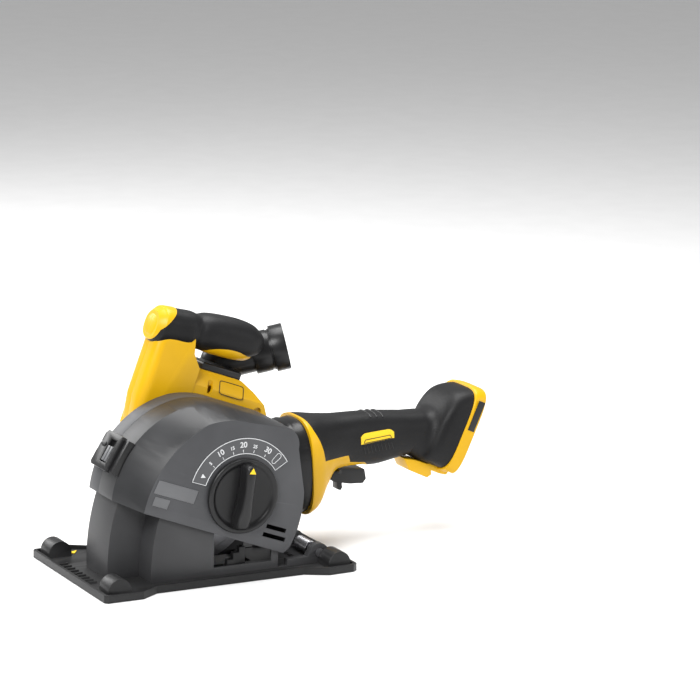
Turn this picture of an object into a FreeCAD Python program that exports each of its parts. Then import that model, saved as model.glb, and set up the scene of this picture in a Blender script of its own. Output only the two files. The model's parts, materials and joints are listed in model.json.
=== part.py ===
"""Wall chaser: a two-disc slot cutter with a hinged guard on a roller shoe.

Three frames are used.  SHOE is the row's frame before centring: +X to the rear, +Y away from the
dial side, +Z up, sole at Z = 0.  TOOL belongs to the hinged unit: its origin is the plunge pivot
and it is drawn fully plunged, then tipped up by the park angle.  MOTOR has its origin at the
arbor, with +X along the motor axis.
"""
import FreeCAD, Part
import math
import os
import re

import Sketcher
from FreeCAD import Placement, Rotation, Vector

document = FreeCAD.newDocument("WallChaser")
sheet = document.addObject("Spreadsheet::Sheet", "dims")

SIZES = {
    # shoe
    "shoe_length": 254.0, "shoe_width": 165.0, "waist_width": 143.0, "shoe_thick": 4.0,
    "rail_height": 7.0, "rail_width": 3.0, "roller_inset_x": 17.0, "roller_inset_y": 16.5,
    "roller_radius": 7.4, "roller_width": 12.0, "axle_radius": 2.0, "sole_gap": 0.3,
    # plunge pivot and arbor
    "pivot_x": 100.0, "pivot_z": 14.0, "pin_radius": 4.0, "park_angle": 20.0,
    "arbor_x": -118.0, "arbor_z": 13.5, "motor_tilt": 23.0, "motor_y": 38.0,
    # discs and spindle
    "disc_radius": 62.5, "bore_radius": 11.1, "core_thick": 1.6, "segment_thick": 2.2,
    "segment_depth": 7.5, "inner_disc_y": 8.0, "spacer_thick": 5.0, "spindle_radius": 7.0,
    "flange_radius": 20.0, "flange_thick": 4.0, "nut_thick": 8.0,
    # guard
    "guard_wall": 2.5, "rim_radius": 91.5, "guard_near": -28.0, "guard_far": 21.5,
    "guard_split": 2.0, "panel_y": -58.0, "telescope_gap": 3.2,
    # depth dial
    "dial_x": -99.0, "dial_z": 31.8, "dial_radius": 34.8, "dial_shaft": 5.0, "scale_inner": 38.5,
    "scale_outer": 53.0,
    # motor and gears
    "gear_radius": 17.0, "pinion_radius": 6.8, "gear_case_radius": 22.0, "shaft_radius": 4.5,
    "stator_radius": 30.0, "rotor_radius": 18.0, "stator_length": 38.0, "shell_wall": 3.0,
    "ring_height": 94.0, "ring_width": 75.0, "ring_x": 128.0,
    # handles, battery foot and dust port
    "grip_height": 46.0, "grip_width": 42.0, "foot_length": 86.0, "foot_width": 68.0,
    "foot_thick": 13.0, "front_grip_length": 117.0, "front_grip_radius": 17.5,
    "port_radius": 17.5, "port_wall": 2.2,
    # clearances
    "running_gap": 0.05, "part_gap": 0.3,
}
for row, (alias, number) in enumerate(SIZES.items(), start=1):
    sheet.set("A%d" % row, alias)
    sheet.set("B%d" % row, str(number))
    sheet.setAlias("B%d" % row, alias)
document.recompute()


class Dimensions:
    """The sheet's values by alias, for the shapes that are worked out here."""


D = Dimensions()
for alias in SIZES:
    setattr(D, alias, float(sheet.get(alias)))

Y_AXIS = Vector(0, 1, 0)
SHOE = Placement()
PLUNGED = Placement(Vector(D.pivot_x, 0, D.pivot_z), Rotation())
TOOL = PLUNGED.multiply(Placement(Vector(), Rotation(Y_AXIS, D.park_angle)))
ARBOR = Vector(D.arbor_x, 0, D.arbor_z)
MOTOR = TOOL.multiply(Placement(ARBOR, Rotation(Y_AXIS, -D.motor_tilt)))
PARKED_ARBOR = Rotation(Y_AXIS, D.park_angle).multVec(ARBOR)
MOTOR_AXIS = Vector(0, D.motor_y, 0)

nodes = []


# ---------------------------------------------------------------- small builders
def keep(item, label, frame):
    """Name a sub-part and stand it in its frame."""
    item.Label = label
    item.Placement = frame.multiply(item.Placement)
    nodes.append(item)
    return item


def keep_shape(label, frame, shape):
    item = document.addObject("Part::Feature", label)
    item.Shape = shape
    return keep(item, label, frame)


def linked(rule):
    """A rule written in aliases, as an expression that reads the sheet."""
    return re.sub(r"[a-z][a-z_]+", lambda word: "dims." + word.group(), rule)


def closed_sketch(body, role, rules):
    """A closed outline whose corners are bound to the sheet, two rules to a corner."""
    sketch = body.newObject("Sketcher::SketchObject", body.Name + "_outline")
    plane = [item for item in body.Origin.OriginFeatures if item.Role == role][0]
    sketch.AttachmentSupport = (plane, [""])
    sketch.MapMode = "FlatFace"
    corners = [Vector(*[sheet.evalExpression(rule) for rule in pair], 0) for pair in rules]
    last = len(corners) - 1
    for index, corner in enumerate(corners):
        following = corners[0 if index == last else index + 1]
        sketch.addGeometry(Part.LineSegment(corner, following), False)
    for index, pair in enumerate(rules):
        sketch.addConstraint(Sketcher.Constraint("Coincident", index, 1, (index - 1) % (last + 1), 2))
        for kind, rule, size in zip(("DistanceX", "DistanceY"), pair, corners[index]):
            number = sketch.addConstraint(Sketcher.Constraint(kind, -1, 1, index, 1, size))
            sketch.setExpression("Constraints[%d]" % number, linked(rule))
    return sketch


def turned(label, frame, centre, rules, along_motor=False):
    """A turned piece: its half section as (radius, distance along the axis) rules."""
    body = document.addObject("PartDesign::Body", label)
    sketch = closed_sketch(body, "XY_Plane", rules)
    spin = body.newObject("PartDesign::Revolution", label + "_turn")
    spin.Profile = sketch
    spin.ReferenceAxis = (sketch, ["V_Axis"])
    spin.Angle = 360.0
    sketch.Visibility = False
    turn = Rotation(Y_AXIS, Vector(1, 0, 0)) if along_motor else Rotation()
    body.Placement = Placement(centre, turn)
    return keep(body, label, frame)


def ring_rules(inner, outer, start, end):
    return [(inner, start), (outer, start), (outer, end), (inner, end)]


def box(x0, x1, y0, y1, z0, z1):
    return Part.makeBox(x1 - x0, y1 - y0, z1 - z0, Vector(x0, y0, z0))


def rod(x, z, radius, y0, y1):
    """A cylinder along Y."""
    return Part.makeCylinder(radius, y1 - y0, Vector(x, y0, z), Y_AXIS)


def outline(points, y):
    """A closed wire in the plane Y = y.  A point marked "via" makes its stretch an arc."""
    spots = [(Vector(point[0], y, point[1]), len(point) > 2) for point in points]
    spots.append(spots[0])
    edges = []
    index = 0
    while index < len(spots) - 1:
        if spots[index + 1][1]:
            arc = Part.Arc(spots[index][0], spots[index + 1][0], spots[index + 2][0])
            edges.append(arc.toShape())
            index += 2
        else:
            edges.append(Part.LineSegment(spots[index][0], spots[index + 1][0]).toShape())
            index += 1
    return Part.Wire(edges)


def slab(points, y0, y1):
    return Part.Face(outline(points, y0)).extrude(Vector(0, y1 - y0, 0))


def inset(wire, distance):
    """The same outline moved inwards, whatever way round it runs."""
    return wire.makeOffset2D(-distance)


def joined(shapes):
    whole = shapes[0].fuse(shapes[1:])
    return whole.removeSplitter()


def oval(centre, across, up, half_y, half_up, power=2.6, count=16):
    """A soft-cornered closed section: `up` is its height direction, `across` its width."""
    points = []
    for step in range(count):
        angle = 2 * math.pi * step / count
        side, rise = math.cos(angle), math.sin(angle)
        side = math.copysign(abs(side) ** (2 / power), side) * half_y
        rise = math.copysign(abs(rise) ** (2 / power), rise) * half_up
        points.append(centre + across * side + up * rise)
    curve = Part.BSplineCurve()
    curve.interpolate(points, PeriodicFlag=True)
    return Part.Wire([curve.toShape()])


def section(x, low, high, half_y, thinner=0.0, power=2.6):
    """An upright section of the motor and grip body at a distance along the motor axis."""
    centre = Vector(x, D.motor_y, (low + high) / 2)
    half = (high - low) / 2 - thinner
    return oval(centre, Y_AXIS, Vector(0, 0, 1), half_y - thinner, half, power)


def loft(wires):
    """A solid through closed sections, straight from each one to the next."""
    return Part.makeLoft(wires, True, True)


def at_arbor(radius, angle):
    turn = math.radians(angle)
    return (D.arbor_x + radius * math.cos(turn), D.arbor_z + radius * math.sin(turn))


def at_pivot(radius, angle):
    turn = math.radians(180 - angle)
    return (radius * math.cos(turn), radius * math.sin(turn))


# ---------------------------------------------------------------- shoe
HALF_LENGTH = D.shoe_length / 2
HALF_WIDTH = D.shoe_width / 2
WAIST = D.waist_width / 2
ROLLER_X = HALF_LENGTH - D.roller_inset_x
ROLLER_Y = HALF_WIDTH - D.roller_inset_y
ROLLER_Z = D.roller_radius + D.sole_gap
LOWER_Y = D.panel_y + D.guard_wall + 1.0


def shoe_outline(height):
    """The shoe's plan: full width over the rollers and waisted between them."""
    flare = HALF_WIDTH - WAIST
    front, rear = 2.2 * D.roller_inset_x, 1.8 * D.roller_inset_x
    half = [(-HALF_LENGTH, HALF_WIDTH - 3), (-HALF_LENGTH + 3, HALF_WIDTH),
            (-HALF_LENGTH + front, HALF_WIDTH), (-HALF_LENGTH + front + 1.6 * flare, WAIST),
            (HALF_LENGTH - rear - 1.9 * flare, WAIST), (HALF_LENGTH - rear, HALF_WIDTH),
            (HALF_LENGTH - 5, HALF_WIDTH - 1), (HALF_LENGTH, HALF_WIDTH - 5)]
    points = half + [(x, -y) for x, y in reversed(half)]
    corners = [Vector(x, y, height) for x, y in points]
    return Part.makePolygon(corners + corners[:1])


def roller_places():
    return [(side_x * ROLLER_X, side_y * ROLLER_Y) for side_x in (-1, 1) for side_y in (-1, 1)]


def disc_window(margin):
    """Front and rear of the floor opening that the plunged discs need."""
    depth = D.pivot_z + D.arbor_z
    half = math.sqrt(D.disc_radius ** 2 - (depth - D.shoe_thick) ** 2) + margin
    centre = D.pivot_x + D.arbor_x
    return centre - half, centre + half


def make_shoe():
    base = Part.Face(shoe_outline(0)).extrude(Vector(0, 0, D.rail_height))
    tray = Part.Face(inset(shoe_outline(D.shoe_thick), D.rail_width))
    base = base.cut(tray.extrude(Vector(0, 0, D.rail_height)))
    front, rear = disc_window(6)
    window = box(front, rear, D.guard_near + 5, D.guard_far - 4, -1, D.rail_height + 1)
    ribs = []
    step = 8.0
    for number in range(9):
        middle = (number - 4) * step
        rib = box(-HALF_LENGTH + 2, -HALF_LENGTH + 14, middle - 0.9, middle + 0.9, 1, 5.8)
        ribs.append(rib)
        ribs.append(box(HALF_LENGTH - 10, HALF_LENGTH - 2, middle - 0.9, middle + 0.9, 1, 5.8))
    domes = []
    wells = []
    outer = D.roller_radius + 3.8
    inner = D.roller_radius + 1.2
    for x, y in roller_places():
        half = D.roller_width / 2 + 4
        dome = rod(x, ROLLER_Z, outer, y - half, y + half)
        dome = dome.fuse(box(x - outer, x + outer, y - half, y + half, 1, ROLLER_Z))
        domes.append(dome.common(box(x - 20, x + 20, y - 20, y + 20, 1, 40)))
        half -= 3.2
        wells.append(rod(x, ROLLER_Z, inner, y - half, y + half))
        wells.append(box(x - inner, x + inner, y - half, y + half, -1, ROLLER_Z))
        wells.append(rod(x, ROLLER_Z, D.axle_radius, y - half - 2.2, y + half + 2.2))
    notch = Part.makeCone(4.5, 2.0, 12, Vector(-HALF_LENGTH + 6, 1, -2), Vector(0, 0, 1))
    cap_room = rod(D.pivot_x + D.arbor_x, D.pivot_z + D.arbor_z, D.gear_case_radius + 0.6, 60, 80)
    base = joined([base.cut(window)] + ribs + domes).cut(wells + [notch, cap_room])
    keep_shape("shoe_plate", SHOE, base)

    for number, (x, y) in enumerate(roller_places()):
        label = ("roller_front_near", "roller_front_far", "roller_rear_near", "roller_rear_far")[number]
        edge = "roller_width / 2"
        rules = [("axle_radius + running_gap", "-" + edge), ("roller_radius - 1", "-" + edge),
                 ("roller_radius", "1 - " + edge), ("roller_radius", edge + " - 1"),
                 ("roller_radius - 1", edge), ("axle_radius + running_gap", edge)]
        turned(label, SHOE, Vector(x, y, ROLLER_Z), rules)
    half = D.roller_width / 2 + 2.9
    axles = [rod(x, ROLLER_Z, D.axle_radius, y - half, y + half) for x, y in roller_places()]
    keep_shape("roller_axles", SHOE, Part.makeCompound(axles))


# ---------------------------------------------------------------- lower guard, fixed to the shoe
LOWER_RADIUS = math.hypot(D.arbor_x - D.rim_radius, D.arbor_z) - D.guard_wall - D.telescope_gap - 3.5
STEP_RADIUS = LOWER_RADIUS - 31.0
LOWER_TOP = D.park_angle - 0.7
LOWER_REAR = -42.2
EARS = ((LOWER_Y, LOWER_Y + 7), (-5.0, 2.0), (D.guard_far - 6.5, D.guard_far - 3.0))
GUARD_SCREWS = ((-188, -21), (-188, 13), (-155, -48), (-125, -48))


def lower_block(radius, y0, y1, top, rear, rise):
    """A body in the shoe frame: front face round the pivot, flat floor, sloping top."""
    foot = -math.degrees(math.asin((D.pivot_z - D.shoe_thick) / radius))
    points = [at_pivot(radius, foot), at_pivot(radius, (foot + top) / 2) + ("via",),
              at_pivot(radius, top), (rear, rise), (rear, D.shoe_thick - D.pivot_z)]
    return slab(points, y0, y1)


def make_lower_guard():
    near = D.guard_near
    wall = D.guard_wall
    far = D.guard_far - wall - 0.5
    floor_w = D.shoe_thick - D.pivot_z
    front_part = lower_block(LOWER_RADIUS, near, far, LOWER_TOP, LOWER_REAR, 10.0)
    wide_part = lower_block(STEP_RADIUS, LOWER_Y, near + wall, LOWER_TOP, LOWER_REAR, 10.0)
    over = LOWER_TOP + 9
    hollow = lower_block(LOWER_RADIUS - wall, near + wall, far - wall, over, LOWER_REAR + 1, 60)
    wide_hollow = lower_block(STEP_RADIUS - wall, LOWER_Y + wall, near + 2 * wall, over,
                              LOWER_REAR + 1, 60)
    floor = box(-230, LOWER_REAR + 2, LOWER_Y - 1, far + 1, -D.pivot_z - 1, floor_w)
    dial_side = D.dial_x - D.dial_shaft - 3.5
    window = box(dial_side, LOWER_REAR - 7, LOWER_Y - 1, LOWER_Y + wall + 1, -2.5, 80)
    parked = PARKED_ARBOR
    room = D.spindle_radius + 8
    spindle_slot = slab([(D.arbor_x - room, D.arbor_z), (D.arbor_x, D.arbor_z - room, "via"),
                         (D.arbor_x + room, D.arbor_z), (parked.x + room + 3, parked.z + 20),
                         (parked.x - room, parked.z + 20)], far - wall - 1, far + 1)
    body = front_part.fuse(wide_part).cut([hollow, wide_hollow, floor, window, spindle_slot])
    ears = []
    for y0, y1 in EARS:
        points = [(-16, floor_w), (-8, 4), (0, 8.5, "via"), (8, 4), (16, floor_w)]
        ears.append(slab(points, y0, y1))
    sill = box(LOWER_REAR - 4, -8, LOWER_Y, LOWER_Y + 7, floor_w, -3.0)
    cross = box(-15, 15, LOWER_Y, EARS[-1][1], floor_w, -7.0)
    back_sill = box(LOWER_REAR - 4, -14, far - wall, far, floor_w, -7.0)
    body = joined([body, sill, cross, back_sill] + ears)
    wall_room = box(LOWER_REAR - 0.2, REAR_EDGE + 5.5, LOWER_Y - 10, D.guard_far + 5, floor_w + 0.6, 30)
    body = body.cut([rod(0, 0, D.pin_radius, LOWER_Y - 5, D.guard_far + 5), wall_room])
    heads = [pan_screw(x, y, floor_w + 3.0) for x, y in GUARD_SCREWS]
    seats = [pan_screw(x, y, floor_w + 3.0, socket=0.0) for x, y in GUARD_SCREWS]
    feet = [box(x - 5, x + 5, y - 5, y + 5, floor_w, floor_w + 3.0) for x, y in GUARD_SCREWS]
    keep_shape("lower_guard", PLUNGED, joined([body] + feet).cut(seats))
    keep_shape("lower_guard_screws", PLUNGED, Part.makeCompound(heads))
    pin = rod(0, 0, D.pin_radius, LOWER_Y - 1.2, D.guard_far + 1)
    keep_shape("pivot_pin", PLUNGED, pin)
    stop = slab([(-92, floor_w), (-92, 2), (-86, 2), (-86, 8), (-80, 8), (-80, 13), (-74, 13),
                 (-74, floor_w)], LOWER_Y + 4, LOWER_Y + 10)
    keep_shape("depth_stop", PLUNGED, stop)

    coil = Part.makeHelix(2.2, 22.0, 5.4)
    wire = Part.Wire([Part.Circle(Vector(5.4, 0, 0), Vector(0, 1, 0.06), 0.8).toShape()])
    spring = Part.Wire(coil.Edges).makePipeShell([wire], True, True)
    spring.rotate(Vector(), Vector(1, 0, 0), 90)
    spring.translate(Vector(0, -16, 0))
    keep_shape("return_spring", PLUNGED, spring)


def pan_screw(x, y, top, socket=1.4):
    """A low pan head sunk flush in a foot, with a short shank below it."""
    head = Part.makeCylinder(3.2, 1.6, Vector(x, y, top - 1.6))
    shank = Part.makeCylinder(1.7, 3.0, Vector(x, y, top - 3.0))
    screw = head.fuse(shank).removeSplitter()
    if socket:
        screw = screw.cut(Part.makeCylinder(socket, 1.0, Vector(x, y, top - 1.0)))
    return screw


GUARD_TOP = D.arbor_z + D.rim_radius - 2.7
GUARD_FLOOR = -7.5
REAR_EDGE = -38.0
make_shoe()
make_lower_guard()


# ---------------------------------------------------------------- hinged guard


def guard_outline(y, front, top, lean, margin=0.0, floor=None):
    """The guard's side view: round the discs in front, flat on top, swept at the rear.

    `front` gives the radius about the arbor at the foot, the middle and the shoulder, `top` the
    crown's height over the arbor, and `lean` moves the upper rear corner in.  `margin` moves
    the whole outline inwards, and with `floor` its sides run straight down to that level.
    """
    foot_radius, middle_radius, shoulder_radius = [radius - margin for radius in front]
    foot = math.degrees(math.asin((D.arbor_z - GUARD_FLOOR) / foot_radius))
    start = at_arbor(foot_radius, 180 + foot)
    shoulder = at_arbor(shoulder_radius, 117)
    crown = (D.arbor_x, D.arbor_z + top - margin)
    between = ((shoulder[0] + crown[0]) / 2, (shoulder[1] + crown[1]) / 2 + 2.6, "via")
    rear = REAR_EDGE - margin
    high = GUARD_TOP - margin
    corner = rear - lean
    points = [start, at_arbor(middle_radius, 155) + ("via",), shoulder, between, crown,
              (corner - 34, high), (corner - 21, high - 4.5, "via"), (corner - 15, high - 16),
              (rear, 50), (rear + 5.5, 24, "via"), (rear + 4.5, -2), (rear, GUARD_FLOOR - 1.5)]
    if floor is not None:
        points = [(start[0], floor)] + points + [(rear, floor)]
    return outline(points, y)


RIM = dict(front=(D.rim_radius, D.rim_radius, D.rim_radius), top=D.rim_radius - 2.7, lean=0.0)
PANEL = dict(front=(D.rim_radius - 18.5, D.rim_radius - 21, D.rim_radius - 11.5),
             top=D.rim_radius - 8.5, lean=5.0)


def prism(wire, depth):
    return Part.Face(wire).extrude(Vector(0, depth, 0))


def make_guard_housing():
    wall = D.guard_wall
    depth = D.guard_far - D.guard_split
    shell = prism(guard_outline(D.guard_split, **RIM), depth)
    core = guard_outline(D.guard_split - 1, margin=wall, floor=-60, **RIM)
    shell = shell.cut(prism(core, depth - wall + 1))
    lug = slab([(REAR_EDGE - 4, -4), (REAR_EDGE - 4, 24), (-4, 6.5), (0, 7.0, "via"), (5, 4.5),
                (6.2, 0, "via"), (4, -5), (0, -6.2, "via"), (-6, -5.6)], 3.0, 14.0)
    lug = lug.cut(prism(guard_outline(0, margin=wall, floor=-60, **RIM), 60))
    bearing_hole = rod(D.arbor_x, D.arbor_z, 14.0, 0, 60)
    shell = joined([shell, lug])
    shell = shell.cut([rod(0, 0, D.pin_radius + D.running_gap, -80, 60), bearing_hole])
    keep_shape("guard_housing", TOOL, shell)


def make_cover():
    wall = D.guard_wall
    start = D.guard_split - D.part_gap
    shell = prism(guard_outline(D.guard_near, **RIM), start - D.guard_near)
    shell = shell.fuse(loft([guard_outline(D.guard_near, **RIM),
                             guard_outline(D.panel_y, **PANEL)]))
    core = prism(guard_outline(D.guard_near, margin=wall, floor=-60, **RIM), start - D.guard_near + 1)
    bevel_core = loft([guard_outline(D.guard_near, margin=wall, floor=-60, **RIM),
                       guard_outline(D.panel_y + wall, margin=wall, floor=-60, **PANEL)])
    shell = shell.cut([core, bevel_core])
    boss = rod(D.dial_x, D.dial_z, D.dial_shaft + 4, D.panel_y + wall - 0.5, D.panel_y + wall + 1.0)
    shell = joined([shell, boss])
    slots = []
    for u0, u1, w in ((-64, -43, 11), (-65, -41, 3)):
        slots.append(box(u0, u1, D.panel_y - 1, D.panel_y + wall + 1, w - 2, w + 2))
    hole = rod(D.dial_x, D.dial_z, D.dial_shaft + D.running_gap, D.panel_y - 1, D.guard_near)
    shell = shell.cut(slots + [hole])
    keep_shape("guard_cover", TOOL, shell)

    arc = []
    first, last = math.radians(50), math.radians(181)
    for radius, angles in ((D.scale_inner, (first, last)), (D.scale_outer, (last, first))):
        middle = (first + last) / 2
        for angle, kind in ((angles[0], ()), (middle, ("via",)), (angles[1], ())):
            arc.append((D.dial_x + radius * math.cos(angle), D.dial_z + radius * math.sin(angle)) + kind)
    keep_shape("depth_scale", TOOL, slab(arc, D.panel_y - 0.5, D.panel_y))


def make_dial():
    face = D.panel_y - D.part_gap - 0.2
    front = face - 4.5
    knob = rod(D.dial_x, D.dial_z, D.dial_radius, front, face)
    knob = knob.cut(rod(D.dial_x, D.dial_z, D.dial_radius - 6, front - 1, front + 2.2))
    bar = box(-6.5, 6.5, front - 12, front + 2.5, -D.dial_radius + 3.5, D.dial_radius - 3.0)
    sides = [edge for edge in bar.Edges if abs(edge.CenterOfMass.y - (front - 12)) < 0.1]
    bar = bar.makeFillet(3.0, sides)
    bar.rotate(Vector(), Y_AXIS, 7 - D.park_angle)
    bar.translate(Vector(D.dial_x, 0, D.dial_z))
    shaft = rod(D.dial_x, D.dial_z, D.dial_shaft, face - 1, LOWER_Y + 10.5)
    keep_shape("depth_knob", TOOL, joined([knob, bar, shaft]))
    tip = D.dial_radius - 4.5
    pointer = slab([(-3, tip - 5), (0, tip), (3, tip - 5)], front - 12.6, front - 12)
    pointer.rotate(Vector(), Y_AXIS, 7 - D.park_angle)
    pointer.translate(Vector(D.dial_x, 0, D.dial_z))
    keep_shape("knob_pointer", TOOL, pointer)
    spots = []
    for step in range(9):
        angle = 2 * math.pi * step / 8
        spots.append(Vector(D.dial_x + (8.5 + step) * math.cos(angle), LOWER_Y + 3.5,
                            D.dial_z + (8.5 + step) * math.sin(angle)))
    curve = Part.BSplineCurve()
    curve.interpolate(spots)
    step_edge = Part.LineSegment(spots[-1], spots[0]).toShape()
    cam = Part.Face(Part.Wire([curve.toShape(), step_edge])).extrude(Vector(0, 5.5, 0))
    keep_shape("depth_cam", TOOL, cam.cut(rod(D.dial_x, D.dial_z, D.dial_shaft, -70, -20)))


# ---------------------------------------------------------------- latch over the parting line
LATCH_ANGLE = 169.0
LATCH_FRAME = Placement(Vector(D.arbor_x, 0, D.arbor_z), Rotation(Y_AXIS, 180 - LATCH_ANGLE))


def make_latch():
    """Drawn with -X outwards and +Z up the rim, then turned to the front of the guard."""
    frame = TOOL.multiply(LATCH_FRAME)
    seat = -D.rim_radius - 1.0
    hinge_y = 15.5
    hinge_x = seat - 2.6
    half = 17.5
    cutter = rod(0, 0, D.rim_radius + 0.05, -60, 60)
    base = box(seat - 1.2, seat + 6, 8.5, hinge_y + 3.5, -half + 2, half - 2)
    knuckle = Part.makeCylinder(3.0, 9, Vector(hinge_x, hinge_y, -4.5))
    base = base.fuse(knuckle).removeSplitter()
    pin_hole = Part.makeCylinder(1.3, 80, Vector(hinge_x, hinge_y, -40))
    arm_spots = [(-half + 3, -5.0), (5.0, half - 3)]
    rooms = [Part.makeCylinder(3.2, high - low + 0.6, Vector(hinge_x, hinge_y, low - 0.3))
             for low, high in arm_spots]
    keep_shape("latch_base", frame, base.cut([pin_hole, cutter] + rooms))
    keep_shape("latch_pin", frame, Part.makeCylinder(1.3, 2 * half - 4, Vector(hinge_x, hinge_y, 2 - half)))

    plate = box(seat - 7.5, seat - 1.6, -21.5, hinge_y - 4, -half, half)
    rims = [edge for edge in plate.Edges if abs(edge.CenterOfMass.x - (seat - 7.5)) < 0.1]
    plate = plate.makeFillet(2.0, rims)
    window = box(seat - 9, seat - 3.4, -12, -3, -9, 9)
    arms = []
    for low, high in arm_spots:
        arm = Part.makeCylinder(2.9, high - low, Vector(hinge_x, hinge_y, low))
        arms.append(arm.fuse(box(seat - 5.4, seat - 1.7, hinge_y - 5, hinge_y, low, high)))
    lug = Part.makeCylinder(2.6, 12, Vector(seat - 7.2, 1.0, 0), Vector(0, 1, 0))
    plate = joined([plate, lug] + arms).cut([window])
    pin_room = Part.makeCylinder(1.3 + D.running_gap, 80, Vector(hinge_x, hinge_y, -40))
    keep_shape("latch_lever", frame, plate.cut([pin_room, cutter]))
    slider = box(seat - 6.4, seat - 3.5, -11.8, -3.2, -6.5, 2.5)
    ridge = box(seat - 7.6, seat - 6.2, -11.0, -4.0, -3.4, -1.0)
    keep_shape("latch_slider", frame, slider.fuse(ridge).removeSplitter())

    bracket = box(seat - 4.5, seat + 8, -29.5, -22.0, -half + 1, half - 1)
    bracket = bracket.fuse(box(seat - 1.2, seat + 8, -22.5, -2.0, -half + 3, half - 3))
    keep_shape("latch_catch", frame, bracket.removeSplitter().cut(cutter))


make_guard_housing()
make_cover()
make_dial()
make_latch()


# ---------------------------------------------------------------- spindle and discs
def make_spindle():
    """Turned pieces on the arbor, from the far bearing to the clamp nut."""
    far = "motor_y + 25.2"
    seat = "inner_disc_y + segment_thick"
    first = "inner_disc_y"
    second = "inner_disc_y - 3 * spacer_thick - segment_thick"
    outer = "inner_disc_y - 4 * spacer_thick - segment_thick"
    nut = outer + " - nut_thick"
    small = "spindle_radius - 2"
    turned("spindle", TOOL, ARBOR,
           [("0", nut + " - 2"), ("spindle_radius - 1", nut + " - 2"), ("spindle_radius", nut + " - 1"),
            ("spindle_radius", far + " - 8"), (small, far + " - 8"), (small, far), ("0", far)])
    turned("inner_flange", TOOL, ARBOR,
           [("spindle_radius", outer), ("bore_radius - 0.1", outer), ("bore_radius - 0.1", seat),
            ("flange_radius", seat), ("flange_radius", seat + " + flange_thick - 1"),
            ("flange_radius - 4", seat + " + flange_thick"), ("spindle_radius", seat + " + flange_thick")])
    core = "disc_radius - segment_depth"
    inner_cheek = "(segment_thick - core_thick) / 2"
    for label, start in (("inner_disc", first), ("outer_disc", second)):
        low = start + " + " + inner_cheek
        high = low + " + core_thick"
        turned(label, TOOL, ARBOR,
               [("bore_radius", start), ("flange_radius", start), ("flange_radius", low), (core, low),
                (core, start), ("disc_radius", start), ("disc_radius", start + " + segment_thick"),
                (core, start + " + segment_thick"), (core, high), ("flange_radius", high),
                ("flange_radius", start + " + segment_thick"),
                ("bore_radius", start + " + segment_thick")])
    rings = []
    for number in range(3):
        low = D.inner_disc_y - (number + 1) * D.spacer_thick
        rings.append((low, low + D.spacer_thick))
    low = D.inner_disc_y - 4 * D.spacer_thick - D.segment_thick
    rings.append((low, low + D.spacer_thick))
    spacers = []
    for low, high in rings:
        ring = rod(D.arbor_x, D.arbor_z, D.flange_radius - 2, low, high)
        spacers.append(ring.cut(rod(D.arbor_x, D.arbor_z, D.bore_radius, low - 1, high + 1)))
    keep_shape("disc_spacers", TOOL, Part.makeCompound(spacers))
    start = low - D.nut_thick
    body = rod(D.arbor_x, D.arbor_z, D.flange_radius, low - 3.5, low)
    hexagon = Part.makePolygon([Vector(*spot) for spot in hexagon_points(15.0, start)])
    body = body.fuse(Part.Face(hexagon).extrude(Vector(0, D.nut_thick - 3, 0))).removeSplitter()
    keep_shape("clamp_nut", TOOL, body.cut(rod(D.arbor_x, D.arbor_z, D.spindle_radius, start - 1, low + 1)))


def hexagon_points(radius, y):
    points = []
    for corner in range(7):
        angle = math.radians(60 * corner)
        points.append((D.arbor_x + radius * math.cos(angle), y, D.arbor_z + radius * math.sin(angle)))
    return points


# ---------------------------------------------------------------- bevel gears
WHEEL_TEETH = 30
PINION_TEETH = 12


def bevel_gear(pitch_radius, mate_radius, teeth, back, bore, phase):
    """A straight bevel gear about +Z with its cone's point at the origin."""
    reach = math.hypot(pitch_radius, mate_radius)
    lean = math.asin(pitch_radius / reach)
    module = 2 * pitch_radius / teeth
    above, below, inner = 0.85 * module, 1.15 * module, 0.68

    def spot(scale, rise, side, turn):
        radial = scale * (reach * math.sin(lean) + rise * math.cos(lean))
        height = scale * (reach * math.cos(lean) - rise * math.sin(lean))
        x, y = radial, scale * side
        return Vector(x * math.cos(turn) - y * math.sin(turn),
                      x * math.sin(turn) + y * math.cos(turn), height)

    half_root, half_tip = 0.62 * module, 0.30 * module
    cone = [spot(inner, -below, 0, 0), spot(1, -below, 0, 0)]
    profile = [Vector(bore, 0, cone[0].z), cone[0], cone[1],
               Vector(cone[1].x, 0, cone[1].z + back), Vector(bore, 0, cone[1].z + back)]
    blank = Part.Face(Part.makePolygon(profile + profile[:1])).revolve(Vector(), Vector(0, 0, 1), 360)
    pieces = []
    for number in range(teeth):
        turn = 2 * math.pi * (number + phase) / teeth
        ends = []
        for scale in (inner, 1.0):
            corners = [spot(scale, -below - 0.25, -half_root, turn), spot(scale, above, -half_tip, turn),
                       spot(scale, above, half_tip, turn), spot(scale, -below - 0.25, half_root, turn)]
            ends.append(Part.makePolygon(corners + corners[:1]))
        pieces.append(loft(ends))
    return blank.fuse(pieces)


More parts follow.
